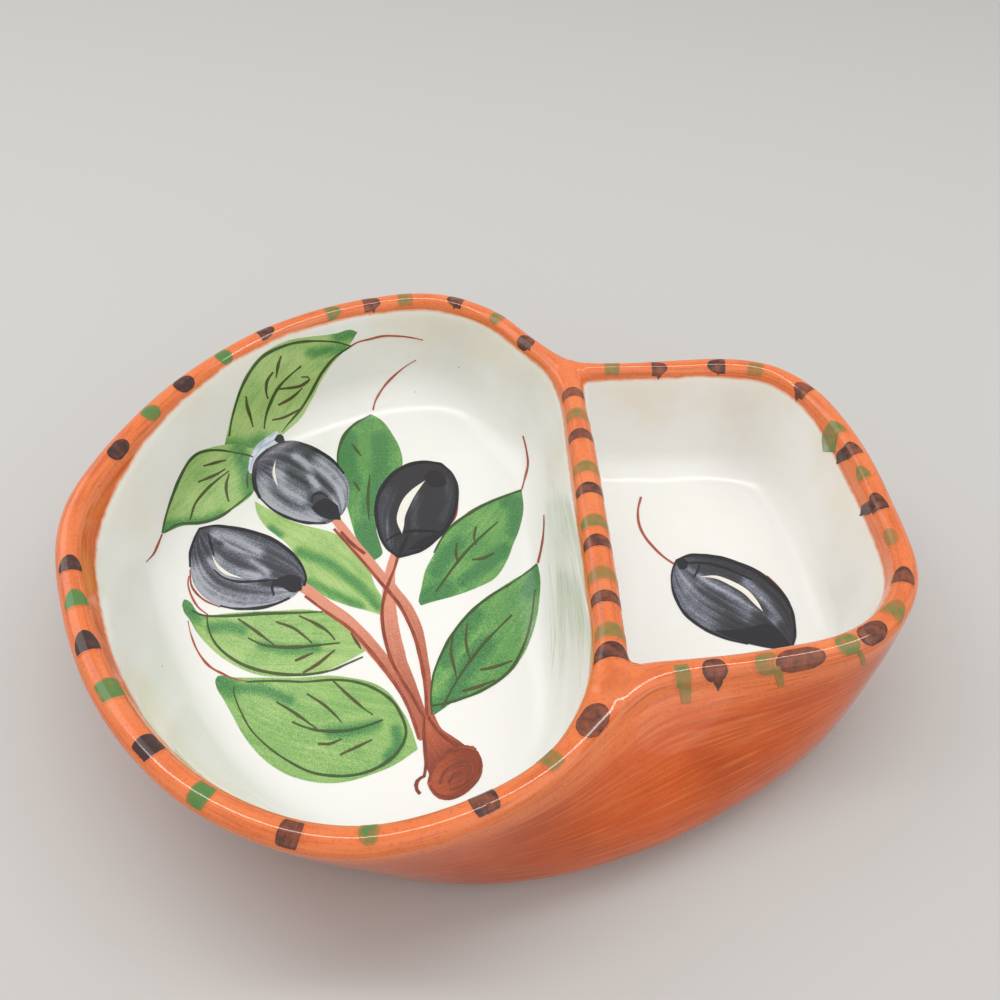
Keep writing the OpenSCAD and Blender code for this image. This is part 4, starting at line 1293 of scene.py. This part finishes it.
def paint_stems(well_skin, slip_line):
    """The stems, the cut stub where they join, and everything drawn in iron red."""
    stems = Brush("stem_washes", well_skin, slip_line, STEM_LIFT)
    for name, stem in STEMS.items():
        stems.stroke(ribbon(stem, STEM_WIDTHS[name]), STEM_TONE, crisp=True)
    stems.stroke(fill(*NECK), NECK_TONE, crisp=True)
    stems.stroke(fill(*STUB), STUB_TONE, crisp=True)
    settle(stems.done(), stem_wash(), "stem_colour", "large_well_stems")
    red = line_paint("iron_red_line", LINE_RED, LINE_BROWN)
    marks = Brush("stem_lines", well_skin, slip_line, STEM_LINE_LIFT)
    draw(marks, STEM_LINES, STEM_LINE_WIDTHS, STEM_LINE_TONE)
    draw(marks, STUB_RINGS, STUB_RING_WIDTHS, STUB_RING_TONE)
    settle(marks.done(), red, "stem_colour")
    accents = Brush("red_accents", well_skin, slip_line, ACCENT_LIFT)
    draw(accents, ACCENTS, ACCENT_WIDTHS)
    settle(accents.done(), red, "stem_colour")
    curls = Brush("large_tendrils", well_skin, slip_line, TENDRIL_LIFT)
    draw(curls, LARGE_TENDRILS, LARGE_TENDRIL_WIDTHS)
    settle(curls.done(), red, "stem_colour", "large_well_tendrils")
    curl = Brush("small_tendril", well_skin, slip_line, TENDRIL_LIFT)
    draw(curl, [SMALL_TENDRIL], SMALL_TENDRIL_WIDTHS)
    settle(curl.done(), red, "stem_colour", "small_well_tendril")


def paint_olives(well_skin, slip_line):
    """The olives of each well, from their washes up to their bare glints."""
    wash = olive_wash()
    black = line_paint("manganese_black_line", OLIVE_BLACK, LINE_BLACK)
    glint = line_paint("bare_slip_glint", SLIP, SLIP_WARM)
    sets = (
        (
            "large_olives", zip(OLIVES.values(), OLIVE_TONES), OLIVE_SHEENS, OLIVE_LINES, OLIVE_BLOTS,
            GLINTS.values(), "large_well_olives",
        ),
        (
            "small_olive", [(SMALL_OLIVE, SMALL_OLIVE_TONE)], SMALL_OLIVE_SHEENS, SMALL_OLIVE_LINES,
            SMALL_OLIVE_BLOTS, [SMALL_GLINT], "small_well_olive",
        ),
    )
    for name, bodies, sheens, outlines, blots, glints, node in sets:
        body = Brush(name, well_skin, slip_line, OLIVE_LIFT)
        lifted = marks_along(sheens)
        for (upper, lower), tone in bodies:
            body.stroke(fill(upper, lower), tone, marks=lifted, cell=OLIVE_CELL, crisp=True)
        settle(body.done(), wash, "olive_colour", node)
        lines = Brush(name + "_lines", well_skin, slip_line, OLIVE_LINE_LIFT)
        first, last = OLIVE_LINE_ENDS
        for number, (width, line) in enumerate(outlines):
            lines.stroke(ribbon(line, (width * first, width, width * last)), OLIVE_LINE_STEP * number % 1)
        for upper, lower in blots:
            lines.stroke(fill(upper, lower))
        settle(lines.done(), black, "olive_colour")
        shine = Brush(name + "_glints", well_skin, slip_line, GLINT_LIFT)
        for upper, lower in glints:
            shine.stroke(fill(upper, lower))
        settle(shine.done(), glint, "cream_slip")


def paint_smears(well_skin, slip_line):
    """What a nearly dry brush left: a blue smear by the high olive, and grey streaks up the divider."""
    patch = Brush("blue_patch", well_skin, slip_line, PATCH_LIFT)
    patch.stroke(fill(*BLUE_PATCH), crisp=True)
    smear = soft_paint("cobalt_smear", PATCH_BLUE, PATCH_DEEP, (0.5, 0.85), 0.4, 1.2, 6.0, 1.0)
    settle(patch.done(), smear, "leaf_colour")
    streaks = Brush("wall_streaks", well_skin, slip_line, STREAK_LIFT)
    for number, line in enumerate(WALL_STREAKS):
        streaks.stroke(ribbon(line, STREAK_WIDTHS), STREAK_TONE + STREAK_STEP * number)
    dry = soft_paint("slip_brush_streaks", STREAK_GREY, STREAK_GREEN, (0.1, 0.6), 0.5, 1.0, 12.0, 0.6)
    settle(streaks.done(), dry, "cream_slip")


def paint_rim(crown_skin, body_skin, slip_line):
    """The dark and green dabs over the rim and the divider, in turn."""
    dark = dab_paint("manganese_brown_dab", DAB_THIN, DAB_DARK, (0.7, 0.96), 0.1)
    green = dab_paint("copper_green_dab", DAB_OLIVE, DAB_GREEN, (0.58, 0.94), -0.2)
    sets = (
        ("rim_dark_marks", RIM_DARK, DARK_TAILS, dark, "dark_colour", "rim_dark_dabs"),
        ("rim_green_marks", RIM_GREEN, GREEN_TAILS, green, "green_colour", "rim_green_dabs"),
        ("divider_dark_bars", DIVIDER_DARK, [], dark, "dark_colour", "divider_dark_dabs"),
        ("divider_green_bars", DIVIDER_GREEN, [], green, "green_colour", "divider_green_dabs"),
    )
    for name, places, tails, material, slot, node in sets:
        brush = Brush(name, crown_skin, slip_line, DAB_LIFT)
        for number, (pixel, length, shape) in enumerate(places):
            well = "large_well" if pixel[0] < LARGE_WELL_END else "small_well"
            base = FAR_LEFT_TONE if pixel[0] < FAR_LEFT_END else DAB_TONE
            tone = number * DAB_STEP % 1 * DAB_SPREAD + base
            dab = over_crown(brush, pixel, body_skin, well, length * MM, shape)
            brush.stroke(None, tone, dab, cell=DAB_CELL)
        # The tails cross the soft edges of the dabs.
        brush.lift += TAIL_RISE
        tail_end = GREEN_TAIL_END if tails is GREEN_TAILS else DARK_TAIL_END
        for number, (width, path) in enumerate(tails):
            tail = ribbon(path, (width * TAIL_START, width, width * tail_end))
            brush.stroke(tail, TAIL_TONE + TAIL_STEP * number, cell=DAB_CELL, crisp=True)
        settle(brush.done(), material, slot, node)


def build():
    """Clay first, then slip, then everything that the brush left."""
    body = make_clay_body()
    slip_line = SlipLine(body)
    keep_depth(body, slip_line)
    coats = [make_slip_coat(body, slip_line, well) for well in WELLS]
    settle(body, glazed_redware(), "red_clay", "bowl", "divider")
    for coat, node in zip(coats, WELLS.values()):
        settle(coat, glazed_slip(), "cream_slip", node)

    def deep_enough(piece, face):
        layer = piece.data.attributes["slip_depth"].data
        return min(layer[corner].value for corner in face.vertices) > PAINT_DEPTH

    well_skin = mesh_skin(*coats, keep=deep_enough)
    body_skin = mesh_skin(body)
    crown_skin = mesh_skin(body, *coats)
    paint_leaves(well_skin, slip_line)
    paint_stems(well_skin, slip_line)
    paint_olives(well_skin, slip_line)
    paint_smears(well_skin, slip_line)
    paint_rim(crown_skin, body_skin, slip_line)


set_camera()
build()
set_studio()
bpy.context.view_layer.update()
